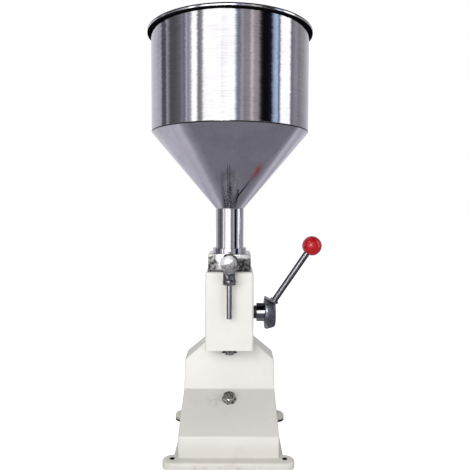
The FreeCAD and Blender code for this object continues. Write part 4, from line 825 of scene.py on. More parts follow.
class FillerSizes(bpy.types.PropertyGroup):
    """Sizes of the modelled outer pieces."""

    sheet: size_setting("Hopper sheet", 1.5 * MM, "Thickness of the hopper's sheet")
    weld: size_setting("Weld", 0.35 * MM, "Height of the ground welds on the hopper")
    bead_round: size_setting("Bead round", 2 * MM, "Round of the rolled bead's upper edge")
    bead_foot: size_setting("Bead foot", 3.6 * MM, "Rolled edge above the bead's lowest point")
    block_edge: size_setting("Block edge", 0.8 * MM, "Broken edges of the valve block")
    fine_edge: size_setting("Fine edge", 0.4 * MM, "Broken edges of the small turned parts")
    seat_bore: size_setting("Seat bore", 20.05 * MM, "Radius of the block's bore for the collar")
    spigot_wall: size_setting("Spigot wall", 5 * MM, "Wall of the neck collar's spigot")
    groove_width: size_setting("Groove width", 2.3 * MM, "Width of the cylinder seal's groove")
    seat_gap: size_setting("Seat gap", 0.3 * MM, "Clearance between parts that nearly touch")
    seal_width: size_setting("Seal width", 2 * MM, "Width of the neck seal")
    cage: size_setting("Ball cage", 11 * MM, "Radius of the suction ball's chamber")
    screw_spacing: size_setting("Screw spacing", 27 * MM, "Block screws from the pump axis")
    screw_head: size_setting("Screw head", 5 * MM, "Radius of the block screws' heads")
    screw_head_height: size_setting("Screw head height", 6 * MM, "Height of those heads")
    screw_shank: size_setting("Screw shank", 3 * MM, "Radius of the block screws' shanks")
    screw_socket: size_setting("Screw socket", 5 * MM, "Sockets of those screws across flats")
    socket_depth: size_setting("Socket depth", 3 * MM, "Depth of those sockets")
    screw_recess: size_setting("Screw recess", 5.3 * MM, "Radius of the block screws' recesses")
    screw_hole: size_setting("Screw hole", 3.3 * MM, "Radius of the block screws' holes")
    port: size_setting("Port", 4 * MM, "Radius of the discharge port")
    port_mouth: size_setting("Port mouth", 7.05 * MM, "Radius of the flange's register")
    port_level: size_setting("Port level", 304 * MM, "Height of the discharge port")
    flange: size_setting("Flange", 14 * MM, "Radius of the discharge flange")
    flange_tube: size_setting("Flange tube", 8 * MM, "Radius of the flange's tube")
    flange_tube_length: size_setting("Flange tube length", 7 * MM, "Length of the flange's tube")
    cap_neck: size_setting("Cap neck", 8 * MM, "Radius of the discharge cap's neck")
    cap_foot: size_setting("Cap foot", 9.8 * MM, "Radius of the cap's foot above the nut")
    cap_blend: size_setting("Cap blend", 3 * MM, "Round between the cap's ball and neck")
    cap_seat: size_setting("Cap seat", 3.5 * MM, "Bore of the discharge ball's seat")
    seat_drop: size_setting("Seat drop", 7 * MM, "Discharge seat below the port")
    cap_chamber: size_setting("Cap chamber", 6.2 * MM, "Radius of the discharge ball's chamber")
    nut_across: size_setting("Union nut", 18.9 * MM, "Union nut across flats")
    nut_skirt: size_setting("Nut skirt", 10.7 * MM, "Radius of the union nut's skirt")
    nut_step: size_setting("Nut step", 7.6 * MM, "Height of that skirt")
    nut_round: size_setting("Nut round", 1 * MM, "Round of the union nut's skirt")
    hex_edge: size_setting("Hexagon edge", 0.25 * MM, "Broken edges of the union nut and bolt head")
    nut_floor: size_setting("Nut floor", 5 * MM, "Thickness of the union nut's floor")
    tube: size_setting("Nozzle", 4.1 * MM, "Outer radius of the nozzle tube")
    tube_root: size_setting("Nozzle root", 4.6 * MM, "Radius of the nozzle tube in the nut")
    tube_bore: size_setting("Nozzle bore", 3.1 * MM, "Inner radius of the nozzle tube")
    rod: size_setting("Handle rod", 5.25 * MM, "Radius of the handle rod")
    rod_foot: size_setting("Rod foot", 13 * MM, "Rod's lower end along its line")
    hub_seat: size_setting("Hub seat", 20.5 * MM, "Hub's slanted flat along the rod's line")
    knob_at: size_setting("Knob centre", 134.8 * MM, "Knob's centre along the rod's line")
    knob: size_setting("Knob", 16.3 * MM, "Radius of the ball knob")
    knob_flat: size_setting("Knob flat", 14.6 * MM, "Knob's flat below its centre")
    knob_bore: size_setting("Knob bore", 5.7 * MM, "End of the knob's bore below its centre")
    rod_nut: size_setting("Rod nut", 14 * MM, "Handle lock nut across flats")
    rod_nut_height: size_setting("Rod nut height", 5 * MM, "Height of the handle lock nut")
    bush: size_setting("Bush", 11 * MM, "Radius of the shaft bush's barrel")
    bush_flange: size_setting("Bush flange", 7 * MM, "Width of the shaft bush's flange")
    rod_cross: size_setting("Rod crossing", 62 * MM, "Where the rod's line meets the shaft's axis")
    rod_lean: angle_setting("Rod lean", 34, "Lean of the handle rod outwards")
    hub: size_setting("Hub", 28 * MM, "Radius of the handle hub")
    hub_outer: size_setting("Hub outer face", 24.5 * MM, "Radius that the hub's taper runs to")
    hub_land: size_setting("Hub land", 5.5 * MM, "Full-radius part of the hub")
    hub_round: size_setting("Hub round", 5 * MM, "Round of the hub's outer edge")
    hub_edge: size_setting("Hub edge", 2.8 * MM, "Round of the hub's inner edge")
    button_head: size_setting("Button head", 5 * MM, "Height of the hub screw's head")
    button_flange: size_setting("Button flange", 1.7 * MM, "Thickness of the hub screw's flange")
    button_neck: size_setting("Button neck", 5.4 * MM, "Radius of that head above its flange")
    button_top: size_setting("Button top", 4.3 * MM, "Radius of that head at its top")
    button_socket: size_setting("Button socket", 3.9 * MM, "Its socket across flats")
    button_depth: size_setting("Button socket depth", 2.5 * MM, "Depth of its socket")
    shaft: size_setting("Shaft bore", 7.05 * MM, "Bore of the hub, collar and bush")
    bolt: size_setting("Bolt", 6 * MM, "Radius of the stage bolt and the dose screw")
    bolt_across: size_setting("Bolt head", 19 * MM, "Stage bolt and dose lock nut across flats")
    bolt_head: size_setting("Bolt head height", 7.5 * MM, "Height of the stage bolt's head")
    bolt_length: size_setting("Bolt length", 28 * MM, "Stage bolt below its washer")
    washer_play: size_setting("Washer play", 0.2 * MM, "Radial play of the washer on its bolt")
    washer: size_setting("Washer", 12 * MM, "Radius of the stage washer")
    washer_height: size_setting("Washer height", 2 * MM, "Thickness of the stage washer")
    dose_across: size_setting("Dose head", 14 * MM, "Dose screw head across flats")
    dose_head: size_setting("Dose head height", 7 * MM, "Height of the dose screw's head")
    stage_lean: angle_setting("Stage lean", 21.701, "Slope of the stage under its bolt")
    thread: size_setting("Thread pitch", 1.75 * MM, "Pitch of the dose screw's thread")
    gap: size_setting("Gap", 0.05 * MM, "Radial gap of running fits")


class FillerColours(bpy.types.PropertyGroup):
    """Colours of the finishes."""

    cream: colour_setting("Cream", (0.80, 0.785, 0.745), "Enamel of the pedestal and column")
    # Nearly black, this colour also paints the shade inside the pedestal and in its holes
    grime: colour_setting("Grime", (0.42, 0.37, 0.31), "Dirt and small chips in the enamel")
    steel: colour_setting("Polished steel", (0.62, 0.61, 0.64), "Hopper, neck and collar")
    valve: colour_setting("Valve steel", (0.62, 0.61, 0.60), "Valve block, cap and nozzle")
    dark: colour_setting("Dark steel", (0.215, 0.225, 0.27), "Handle hub and lock nut")
    rod: colour_setting("Rod steel", (0.17, 0.17, 0.19), "Handle rod and collar")
    zinc: colour_setting("Zinc", (0.50, 0.49, 0.46), "Bolts and nuts")
    machined: colour_setting("Machined steel", (0.52, 0.52, 0.53), "Inner turned parts")
    bronze: colour_setting("Bronze", (0.55, 0.36, 0.16), "Rod guide")
    bush: colour_setting("Black bush", (0.012, 0.012, 0.014), "Shaft bushes")
    rubber: colour_setting("Seal rubber", (0.02, 0.02, 0.02), "Seals")
    red: colour_setting("Knob red", (0.46, 0.008, 0.014), "Ball knob")


class PieceOperator(bpy.types.Operator):
    """Shared settings of the operators that build a piece."""

    bl_options = {"REGISTER", "UNDO"}


# Hopper

class FILLER_OT_hopper(PieceOperator):
    """Model the hopper's neck, cone and bowl, and the ground welds between them."""
    bl_idname = "filler.hopper"
    bl_label = "Hopper"

    def execute(self, context):
        sizes = context.scene.filler_sizes
        centre = middle("hopper_bowl")
        at = (centre.x, centre.y, 0)
        sheet, w = sizes.sheet, sizes.weld
        neck_low, neck_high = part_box("hopper_neck")
        bowl_low, bowl_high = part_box("hopper_bowl")
        neck, bowl = neck_high.x, bowl_high.x
        foot, joint, top = neck_low.z, neck_high.z, bowl_low.z
        lean = sheet * math.tan(math.atan2(bowl - neck, top - joint) / 2)
        tube = turned("hopper_neck_shell", [
            (neck - sheet, foot), (neck, foot), (neck, joint - 6 * w), (neck, joint - 3 * w),
            (neck + w, joint), (neck - sheet, joint), (neck - sheet, foot)], 160)
        cone = turned("hopper_cone_shell", [
            (neck - sheet, joint), (neck + w, joint), (neck + 3 * w, joint + 1.5 * w),
            (bowl - 3 * w, top - 4 * w), (bowl - w, top - w), (bowl - w * 0.2, top),
            (bowl - sheet, top), (bowl - sheet, top + lean), (neck - sheet, joint + lean),
            (neck - sheet, joint)], 224)
        ring = turned("hopper_bowl_shell", [
            (bowl - sheet, top), (bowl - w * 0.2, top), (bowl, top + w * 0.7), (bowl, top + 5 * w),
            (bowl, bowl_high.z - w), (bowl - w, bowl_high.z), (bowl - sheet, bowl_high.z),
            (bowl - sheet, top)], 224)
        for piece, node, finish in ((tube, "hopper_neck", "polished_steel"),
                                    (cone, "hopper_cone", "cone_steel"),
                                    (ring, "hopper_bowl", "polished_steel")):
            move(piece, at)
            hand_over(piece, "frame", "polished_steel", node, angle=20, finish=finish)
        return {"FINISHED"}


class FILLER_OT_rim(PieceOperator):
    """Model the rolled bead round the hopper's mouth."""
    bl_idname = "filler.rim"
    bl_label = "Rim"

    def execute(self, context):
        sizes = context.scene.filler_sizes
        low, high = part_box("rim_bead")
        outer = high.x
        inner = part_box("hopper_bowl")[1].x + sizes.gap
        foot = low.z + sizes.bead_foot
        lower, upper = sizes.bead_round * 0.4, sizes.bead_round
        profile = [(inner, foot), (outer - lower, foot)]
        profile += arc((outer - lower, foot + lower), lower, -80, 0, 6)
        profile += arc((outer - upper, high.z - upper), upper, 0, 80, 8)
        profile += [(outer - upper, high.z), (inner, high.z), (inner, foot)]
        piece = turned("hopper_rim", profile, 224)
        centre = middle("rim_bead")
        move(piece, (centre.x, centre.y, 0))
        hand_over(piece, "frame", "polished_steel", "rim_bead", angle=40, finish="rim_steel")
        return {"FINISHED"}


class FILLER_OT_collar(PieceOperator):
    """Model the collar that carries the hopper's neck on the block."""
    bl_idname = "filler.collar"
    bl_label = "Neck collar"

    def execute(self, context):
        sizes = context.scene.filler_sizes
        low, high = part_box("neck_collar")
        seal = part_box("neck_seal")[1]
        block_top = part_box("valve_block")[1].z
        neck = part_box("hopper_neck")
        tube, seat = neck[1].x + sizes.gap, neck[0].z
        spigot = sizes.seat_bore - sizes.gap
        inner, edge = spigot - sizes.spigot_wall, sizes.block_edge
        groove_in, groove_out = seal.x - sizes.seal_width - sizes.gap, seal.x + sizes.gap
        groove_top = seal.z + sizes.gap
        profile = [(inner, low.z), (spigot, low.z), (spigot, block_top), (groove_in, block_top),
                   (groove_in, groove_top), (groove_out, groove_top), (groove_out, block_top),
                   (high.x, block_top)]
        profile += arc((high.x - edge, high.z - edge), edge, 0, 90, 4)
        profile += [(tube, high.z), (tube, seat), (inner, seat), (inner, low.z)]
        piece = turned("neck_ring", profile, 128)
        centre = middle("neck_collar")
        move(piece, (centre.x, centre.y, 0))
        hand_over(piece, "frame", "polished_steel", "neck_collar", finish="turned_steel")
        return {"FINISHED"}


# Valve

class FILLER_OT_block(PieceOperator):
    """Model the ground valve block and its four socket screws."""
    bl_idname = "filler.block"
    bl_label = "Valve block"

    def execute(self, context):
        sizes = context.scene.filler_sizes
        low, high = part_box("valve_block")
        centre = (low + high) / 2
        deselect()
        bpy.ops.mesh.primitive_cube_add(size=1, location=centre)
        piece = named("valve_body")
        piece.scale = high - low
        bpy.ops.object.transform_apply(location=True, scale=True)
        soften(piece, sizes.block_edge, 3)
        drill(piece, sizes.seat_bore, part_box("suction_seat")[0].z, high.z + OVERLAP, centre, 96)
        drill(piece, sizes.cage, low.z - OVERLAP, high.z, centre, 64)
        self.seal_groove(piece, sizes, low.z, centre)
        spread = (-sizes.screw_spacing, sizes.screw_spacing)
        spots = [Vector((centre.x + x, centre.y + y, 0)) for x in spread for y in spread]
        head_low, head_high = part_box("block_screws")
        neck = head_high.z - sizes.screw_head_height
        for spot in spots:
            drill(piece, sizes.screw_recess, neck, high.z + OVERLAP, spot, 40)
            drill(piece, sizes.screw_hole, low.z - OVERLAP, high.z, spot, 32)
        start, root = low.y - OVERLAP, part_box("discharge_flange")[1].y + sizes.seat_gap
        bore_back(piece, sizes.port, start, centre.y - start, sizes.port_level)
        bore_back(piece, sizes.port_mouth, start, root - start, sizes.port_level)
        hand_over(piece, "frame", "valve_steel", "valve_block", finish="block_steel")
        screw = self.socket_screw(sizes, head_low.z, neck, head_high.z)
        hand_over(copied(screw, spots), "frame", "screw_steel", "block_screws")
        return {"FINISHED"}

    def seal_groove(self, piece, sizes, level, centre):
        """Cut the groove of the cylinder seal into the underside."""
        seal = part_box("cylinder_seal")[1]
        outer, top = seal.x + sizes.gap, seal.z + sizes.gap
        inner, mouth = outer - sizes.groove_width, level - OVERLAP
        ring = turned("groove", [
            (inner, mouth), (outer, mouth), (outer, top), (inner, top), (inner, mouth)], 96)
        combine(piece, move(ring, (centre.x, centre.y, 0)), "DIFFERENCE")

    def socket_screw(self, sizes, low, neck, high):
        """Model one socket screw round its own axis."""
        head, shank, edge = sizes.screw_head, sizes.screw_shank, sizes.fine_edge
        screw = turned("block_screw", [
            (shank - edge, low), (shank, low + edge), (shank, neck), (head, neck), (head, high - edge),
            (head - edge, high)], 48, solid=True)
        socket = hexed("socket", sizes.screw_socket, high - sizes.socket_depth, high + OVERLAP)
        return combine(screw, socket, "DIFFERENCE")


class FILLER_OT_discharge(PieceOperator):
    """Model the flange and the ball-shaped cap in front of the block."""
    bl_idname = "filler.discharge"
    bl_label = "Discharge cap"

    def execute(self, context):
        sizes = context.scene.filler_sizes
        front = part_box("valve_block")[0].y
        low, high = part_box("discharge_flange")
        root, end = front - high.y, front - low.y
        disc, register = end - sizes.flange_tube_length, sizes.port_mouth - sizes.gap
        flange = turned("outlet_flange", [
            (sizes.port, root), (register, root), (register, 0), (sizes.flange, 0),
            (sizes.flange, disc), (sizes.flange_tube, disc), (sizes.flange_tube, end),
            (sizes.port, end), (sizes.port, root)], 96)
        soften(flange, sizes.fine_edge, 2)
        move(flange, (0, front, sizes.port_level), "X", math.pi / 2)
        hand_over(flange, "frame", "valve_steel", "discharge_flange")
        low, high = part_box("discharge_cap")
        radius = (high.x - low.x) / 2
        centre = Vector((0, (low.y + high.y) / 2, high.z - radius))
        cap = turned("outlet_cap", self.cap_profile(sizes, radius, low.z - centre.z), 96, solid=True)
        move(cap, centre)
        tube_end = front - end - sizes.gap
        bore_back(cap, sizes.flange_tube + sizes.gap, tube_end, radius, sizes.port_level)
        bore_back(cap, sizes.port, centre.y, radius, sizes.port_level)
        seat = sizes.port_level - sizes.seat_drop
        drill(cap, sizes.cap_seat, seat - OVERLAP, sizes.port_level, centre, 40)
        drill(cap, sizes.cap_chamber, low.z - OVERLAP, seat, centre, 40)
        hand_over(cap, "frame", "valve_steel", "discharge_cap", finish="cap_steel")
        return {"FINISHED"}

    def cap_profile(self, sizes, radius, foot):
        """Neck, blend and ball of the cap round its own centre."""
        neck, thick, blend = sizes.cap_neck, sizes.cap_foot, sizes.cap_blend
        drop = math.sqrt((radius + blend) ** 2 - (thick + blend) ** 2)
        touch = math.degrees(math.atan2(-drop, thick + blend))
        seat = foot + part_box("nozzle_nut")[1].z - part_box("discharge_cap")[0].z + sizes.fine_edge
        profile = [(neck, foot), (neck, seat), (thick, seat), (thick, -drop)]
        profile += arc((thick + blend, -drop), blend, 180, 180 + touch, 8)[1:]
        profile += arc((0, 0), radius, touch, 88, 30)[1:]
        return profile + [(0, radius)]


class FILLER_OT_nozzle(PieceOperator):
    """Model the union nut and the filling tube below the cap."""
    bl_idname = "filler.nozzle"
    bl_label = "Nozzle"

    def execute(self, context):
        sizes = context.scene.filler_sizes
        low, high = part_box("nozzle_nut")
        centre = (0, (low.y + high.y) / 2, 0)
        step, floor = low.z + sizes.nut_step, low.z + sizes.nut_floor
        nut = hexed("union_nut", sizes.nut_across, step - OVERLAP, high.z, 0.5)
        skirt = turned("skirt", [(sizes.nut_skirt, low.z), (sizes.nut_skirt, step)], 96, True)
        soften(skirt, sizes.nut_round, 3)
        combine(nut, skirt, "UNION")
        drill(nut, sizes.cap_neck + sizes.gap, floor, high.z + OVERLAP, segments=64)
        drill(nut, sizes.tube_root + sizes.gap, low.z - OVERLAP, high.z)
        soften(nut, sizes.hex_edge, 2, 40)
        move(nut, centre)
        hand_over(nut, "frame", "valve_steel", "nozzle_nut", angle=25, finish="nut_steel")
        tip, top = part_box("nozzle_tube")
        outer, root, inner = sizes.tube, sizes.tube_root, sizes.tube_bore
        edge = (outer - inner) / 2
        swell = low.z - OVERLAP
        tube = turned("fill_tube", [
            (inner, tip.z), (inner + edge, tip.z), (outer, tip.z + edge),
            (outer, swell - (root - outer)), (root, swell), (root, floor), (top.x, floor),
            (top.x, top.z), (inner, top.z), (inner, tip.z)], 64)
        move(tube, centre)
        hand_over(tube, "frame", "valve_steel", "nozzle_tube", finish="tube_steel")
        return {"FINISHED"}


# Handle

class FILLER_OT_hub(PieceOperator):
    """Model the tapered hub with its slanted flat, the collar, the bush and the hub screw."""
    bl_idname = "filler.hub"
    bl_label = "Handle hub"

    def execute(self, context):
        sizes = context.scene.filler_sizes
        cross, along = rod_line(sizes)
        start, seat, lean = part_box("handle_hub")[0].x, sizes.hub_seat, sizes.rod_lean
        hub = turned("hub_disc", self.hub_profile(sizes), 128)
        move(hub, (start, cross.y, cross.z), "Y", math.pi / 2)
        hole, foot = sizes.rod + sizes.gap, sizes.rod_foot - sizes.gap
        for radius, level in ((sizes.hub * 1.2, seat), (hole, foot)):
            tool = turned("cut", [(radius, level), (radius, 2 * seat)], 48, solid=True)
            combine(hub, move(tool, cross, "Y", lean), "DIFFERENCE")
        soften(hub, 2 * sizes.fine_edge, 3, 42)
        hand_over(hub, "handle", "dark_steel", "handle_hub", angle=38)
        self.collar(sizes)
        self.bush(sizes)
        self.screw(sizes)
        return {"FINISHED"}

    def hub_profile(self, sizes):
        """Taper, rounds and bore of the hub, from its inner face outwards."""
        low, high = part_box("handle_hub")
        bore, full, land, width = sizes.shaft, sizes.hub, sizes.hub_land, high.x - low.x
        small, large, edge = sizes.hub_edge, sizes.hub_round, sizes.fine_edge
        taper = math.atan2(full - sizes.hub_outer, width - land)
        level = width - large
        line = full - (level - land) * math.tan(taper)
        profile = [(bore, 0), (full - small, 0)]
        profile += arc((full - small, small), small, -90, 0, 4)[1:]
        profile += [(full, land)]
        profile += arc((line - large / math.cos(taper), level), large, math.degrees(taper), 90, 8)
        profile += [(bore + edge, width), (bore, width - edge), (bore, 0)]
        return profile

    def on_shaft(self, piece, node):
        """Turn a piece onto the shaft's axis, at its node's inner end."""
        centre = middle(node)
        return move(piece, (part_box(node)[0].x, centre.y, centre.z), "Y", math.pi / 2)

    def collar(self, sizes):
        """Ring between the bush and the hub."""
        low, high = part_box("shaft_collar")
        bore, edge = sizes.shaft, 1.5 * sizes.fine_edge
        width, outer = high.x - low.x, (high.z - low.z) / 2
        piece = turned("hub_collar", [
            (bore, 0), (outer - edge, 0), (outer, edge), (outer, width - edge / 3),
            (outer - edge / 3, width), (bore, width), (bore, 0)], 96)
        hand_over(self.on_shaft(piece, "shaft_collar"), "handle", "dark_steel", "shaft_collar",
                  finish="collar_steel")

    def bush(self, sizes):
        """Flanged bush of the shaft on the handle's side."""
        low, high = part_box("shaft_bush_right")
        bore, barrel, edge = sizes.shaft, sizes.bush, sizes.fine_edge
        width, flange, step = high.x - low.x, (high.z - low.z) / 2, sizes.bush_flange
        piece = turned("handle_bush", [
            (bore, 0), (flange - edge, 0), (flange, edge), (flange, step), (barrel, step),
            (barrel, width - edge), (barrel - edge, width), (bore, width), (bore, 0)], 96)
        hand_over(self.on_shaft(piece, "shaft_bush_right"), "frame", "black_bush", "shaft_bush_right")

    def screw(self, sizes):
        """Flanged button screw in the hub's recess."""
        low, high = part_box("hub_screw")
        length, flange = high.x - low.x, (high.z - low.z) / 2
        seat, shank, edge = length - sizes.button_head, sizes.screw_shank, sizes.fine_edge
        top, neck, crown = seat + sizes.button_flange, sizes.button_neck, sizes.button_top
        piece = turned("hub_button", [
            (shank - edge, 0), (shank, edge), (shank, seat), (flange, seat), (flange, top - edge),
            (flange - edge, top), (neck, top), (neck - edge, top + 3 * edge),
            (crown, length - edge), (crown - 1.5 * edge, length)], 64, solid=True)
        socket = hexed("socket", sizes.button_socket, length - sizes.button_depth, length + OVERLAP)
        combine(piece, socket, "DIFFERENCE")
        hand_over(self.on_shaft(piece, "hub_screw"), "handle", "dark_steel", "hub_screw", angle=50,
                  finish="turned_steel")


class FILLER_OT_knob(PieceOperator):
    """Model the red ball knob, the handle rod and its lock nut."""
    bl_idname = "filler.knob"
    bl_label = "Ball knob"

    def execute(self, context):
        sizes = context.scene.filler_sizes
        cross, along = rod_line(sizes)
        lean, edge, hole = sizes.rod_lean, sizes.fine_edge, sizes.rod + sizes.gap
        radius, flat = sizes.knob, sizes.knob_flat
        start = math.degrees(math.asin(-flat / radius))
        profile = [(hole, -sizes.knob_bore), (hole, edge - flat), (hole + edge, -flat)]
        profile += arc((0, 0), radius, start, 88, 44)
        knob = turned("knob_ball", profile + [(0, radius)], 96, solid=True)
        move(knob, cross + along * sizes.knob_at, "Y", lean)
        hand_over(knob, "handle", "red_gloss", "ball_knob", angle=60)
        foot, end = sizes.rod_foot, sizes.knob_at - sizes.knob_bore - sizes.seat_gap
        rod = turned("handle_bar", [
            (sizes.rod - edge, foot), (sizes.rod, foot + edge), (sizes.rod, end - edge),
            (sizes.rod - edge, end)], 64, solid=True)
        move(rod, cross, "Y", lean)
        hand_over(rod, "handle", "dark_steel", "handle_rod", finish="rod_steel")
        seat = sizes.hub_seat
        nut = hexed("rod_nut", sizes.rod_nut, seat, seat + sizes.rod_nut_height, 0.5, both=True)
        drill(nut, hole, seat - OVERLAP, 2 * seat)
        move(nut, cross, "Y", lean)
        hand_over(nut, "handle", "dark_steel", "handle_lock_nut", angle=25, finish="nut_steel")
        return {"FINISHED"}


class FILLER_OT_bolts(PieceOperator):
    """Model the stage bolt, its washer and the dose screw with its nut."""
    bl_idname = "filler.bolts"
    bl_label = "Bolts"

    def execute(self, context):
        sizes = context.scene.filler_sizes
        bolt, outer, thick = sizes.bolt, sizes.washer, sizes.washer_height
        lean = Vector((0, -math.sin(sizes.stage_lean), math.cos(sizes.stage_lean)))
        foot = middle("stage_washer") - lean * thick / 2
        hole = bolt + sizes.washer_play
        washer = turned("bolt_washer", [
            (hole, 0), (outer, 0), (outer, thick), (hole, thick), (hole, 0)], 64)
        soften(washer, sizes.fine_edge * 0.7, 2)
        head = hexed("bolt_head", sizes.bolt_across, thick, thick + sizes.bolt_head, 0.6)
        shank = turned("shank", [(bolt, -sizes.bolt_length), (bolt, thick + OVERLAP)], 48, solid=True)
        combine(head, shank, "UNION")
        soften(head, sizes.hex_edge, 2, 40)
        for piece, node in ((washer, "stage_washer"), (head, "stage_bolt")):
            move(piece, foot, "X", sizes.stage_lean)
            hand_over(piece, "frame", "screw_steel", node, angle=25)
        self.dose_screw(sizes)
        self.dose_nut(sizes)
        return {"FINISHED"}

    def dose_screw(self, sizes):
        """Threaded dose screw with its hexagon head below."""
        low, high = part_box("dose_screw")
        core, crest, pitch = sizes.bolt * 0.87, sizes.bolt, sizes.thread
        head_top = low.z + sizes.dose_head
        profile, level = [(core, head_top - OVERLAP)], head_top
        while level + pitch < high.z - OVERLAP:
            profile += [(core, level), (crest, level + pitch * 0.4), (crest, level + pitch * 0.55),
                        (core, level + pitch * 0.95)]
            level += pitch
        profile += [(core, high.z - 2 * sizes.fine_edge), (core - sizes.fine_edge, high.z)]
        screw = turned("dose_thread", profile, 48, solid=True)
        head = hexed("dose_head", sizes.dose_across, low.z, head_top, 0.5, both=True)
        combine(screw, head, "UNION")
        centre = middle("dose_screw")
        move(screw, (centre.x, centre.y, 0))
        hand_over(screw, "dose_stop", "screw_steel", "dose_screw", angle=25)

    def dose_nut(self, sizes):
        """Lock nut of the dose screw under the roof."""
        low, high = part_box("dose_lock_nut")
        nut = hexed("dose_nut", sizes.bolt_across, low.z, high.z, 0.5, both=True)
        drill(nut, sizes.bolt + sizes.gap, low.z - OVERLAP, high.z + OVERLAP)
        centre = middle("dose_lock_nut")
        move(nut, (centre.x, centre.y, 0))
        hand_over(nut, "frame", "screw_steel", "dose_lock_nut", angle=25)


class FILLER_OT_finishes(PieceOperator):
    """Give every CAD node that stays its own finish."""
    bl_idname = "filler.finishes"
    bl_label = "Finishes"

    def execute(self, context):
        for name, node in frame["nodes"].items():
            slots = [s.material.name.split(".")[0] for s in node.material_slots if s.material]
            if not slots or slots[0] not in MAKERS:
                raise RuntimeError(f"{name} has no known material slot: {slots}")
            for holder in node.material_slots:
                holder.material = finish_of(slots[0])
        return {"FINISHED"}


# Stage

# Tones of the surround by the angle from the front, in degrees, and of the table by the distance back
SURROUND_LEFT = [
    (-180, (0.84, 0.83, 0.88)), (-150, (0.78, 0.77, 0.82)), (-130, (0.72, 0.70, 0.80)),
    (-113, (0.57, 0.55, 0.64)), (-110.5, (0.44, 0.42, 0.49)), (-108, (0.15, 0.14, 0.17)),
    (-99.5, (0.13, 0.125, 0.145)), (-97.5, (0.42, 0.41, 0.45)), (-94.5, (0.40, 0.39, 0.42)),
    (-91, (0.19, 0.19, 0.20)), (-88, (0.12, 0.12, 0.135)), (-82, (0.12, 0.12, 0.135)),
    (-72, (0.175, 0.17, 0.195)), (-67, (0.31, 0.30, 0.36)), (-64, (0.22, 0.21, 0.26)),
    (-62.5, (0.28, 0.27, 0.33)), (-60.3, (0.75, 0.74, 0.83)), (-58.5, (0.40, 0.39, 0.45)),
    (-56, (0.42, 0.41, 0.47)), (-53.5, (0.66, 0.65, 0.72)), (-51.2, (1.8, 1.8, 1.8)),
    (-45.2, (1.8, 1.8, 1.8)), (-43.2, (0.26, 0.255, 0.28)), (-41.5, (0.30, 0.295, 0.32)),
    (-38, (0.40, 0.395, 0.42)), (-36.8, (0.60, 0.60, 0.62)), (-35, (1.8, 1.8, 1.8)),
    (0, (1.8, 1.8, 1.8)),
]
SURROUND_RIGHT = [
    (0, (1.8, 1.8, 1.8)), (6.6, (1.8, 1.8, 1.85)), (8.8, (0.42, 0.45, 0.54)),
    (11, (0.29, 0.33, 0.44)), (13, (0.25, 0.28, 0.36)), (14.5, (0.36, 0.36, 0.42)),
    (16.2, (0.62, 0.60, 0.65)), (18.3, (0.40, 0.375, 0.43)), (21, (0.34, 0.325, 0.37)),
    (23.6, (0.42, 0.385, 0.42)), (27, (0.40, 0.36, 0.36)), (29.2, (0.95, 0.86, 0.84)),
    (30.6, (0.95, 0.86, 0.84)), (32.2, (0.54, 0.47, 0.48)), (38.5, (0.46, 0.40, 0.44)),
    (40.3, (0.22, 0.195, 0.21)), (42.5, (0.03, 0.028, 0.03)), (46, (0.005, 0.005, 0.006)),
    (53, (0.007, 0.008, 0.012)), (58.2, (0.015, 0.018, 0.035)), (59.8, (0.20, 0.26, 0.36)),
    (61.5, (0.46, 0.58, 0.75)), (64.4, (0.57, 0.73, 0.98)), (67.3, (0.74, 0.94, 1.25)),
    (69.0, (0.30, 0.42, 0.60)), (71.6, (0.06, 0.09, 0.13)), (73.4, (1.8, 1.8, 1.8)),
    (90.3, (1.8, 1.8, 1.8)), (93, (0.24, 0.24, 0.28)), (104, (0.43, 0.41, 0.46)),
    (113, (0.33, 0.31, 0.33)), (150, (0.70, 0.69, 0.77)),
]
TABLE = [
    (-0.6, (0.25, 0.245, 0.285)), (0.03, (0.25, 0.245, 0.285)), (0.16, (0.38, 0.37, 0.43)),
    (0.28, (0.68, 0.66, 0.75)), (0.50, (0.62, 0.60, 0.68)), (0.9, (0.48, 0.46, 0.53)),
]
REACH = 1.9         # radius of the surround
CEILING = 2.4       # height of the card overhead
CENTRE_Y = 0.02     # the hopper's axis, round which the surround stands
SPARK_PLACE = Vector((-0.15, -0.82, 0.53))
SPARK_RADIUS = 0.09
SPARK_STRENGTH = 14.0
WORLD_LEVEL = 0.34  # the world's light on the object
LAMPS = (           # name, place, what it points at, size and power
    ("key_lamp", (-0.50, -1.35, 0.75), (0, 0, 0.30), 0.9, 13.5),
    ("fill_lamp", (0.95, -1.5, 0.55), (0, 0, 0.22), 1.0, 7.5),
    ("back_lamp", (0.2, 1.6, 1.5), (0, 0, 0.3), 1.4, 8),
)
CAMERA_PLACE = (0.009, -0.822, 0.399)
CAMERA_DROP = 0.060     # how far it looks down, in radians
CAMERA_ROLL = 0.003
LENS = 38.0
SENSOR = 36.0


def glossy_only(piece):
    """Let a card show in reflections and nowhere else."""
    piece.visible_camera = False
    piece.visible_diffuse = False
    piece.visible_transmission = False
    piece.visible_volume_scatter = False
    piece.visible_shadow = False


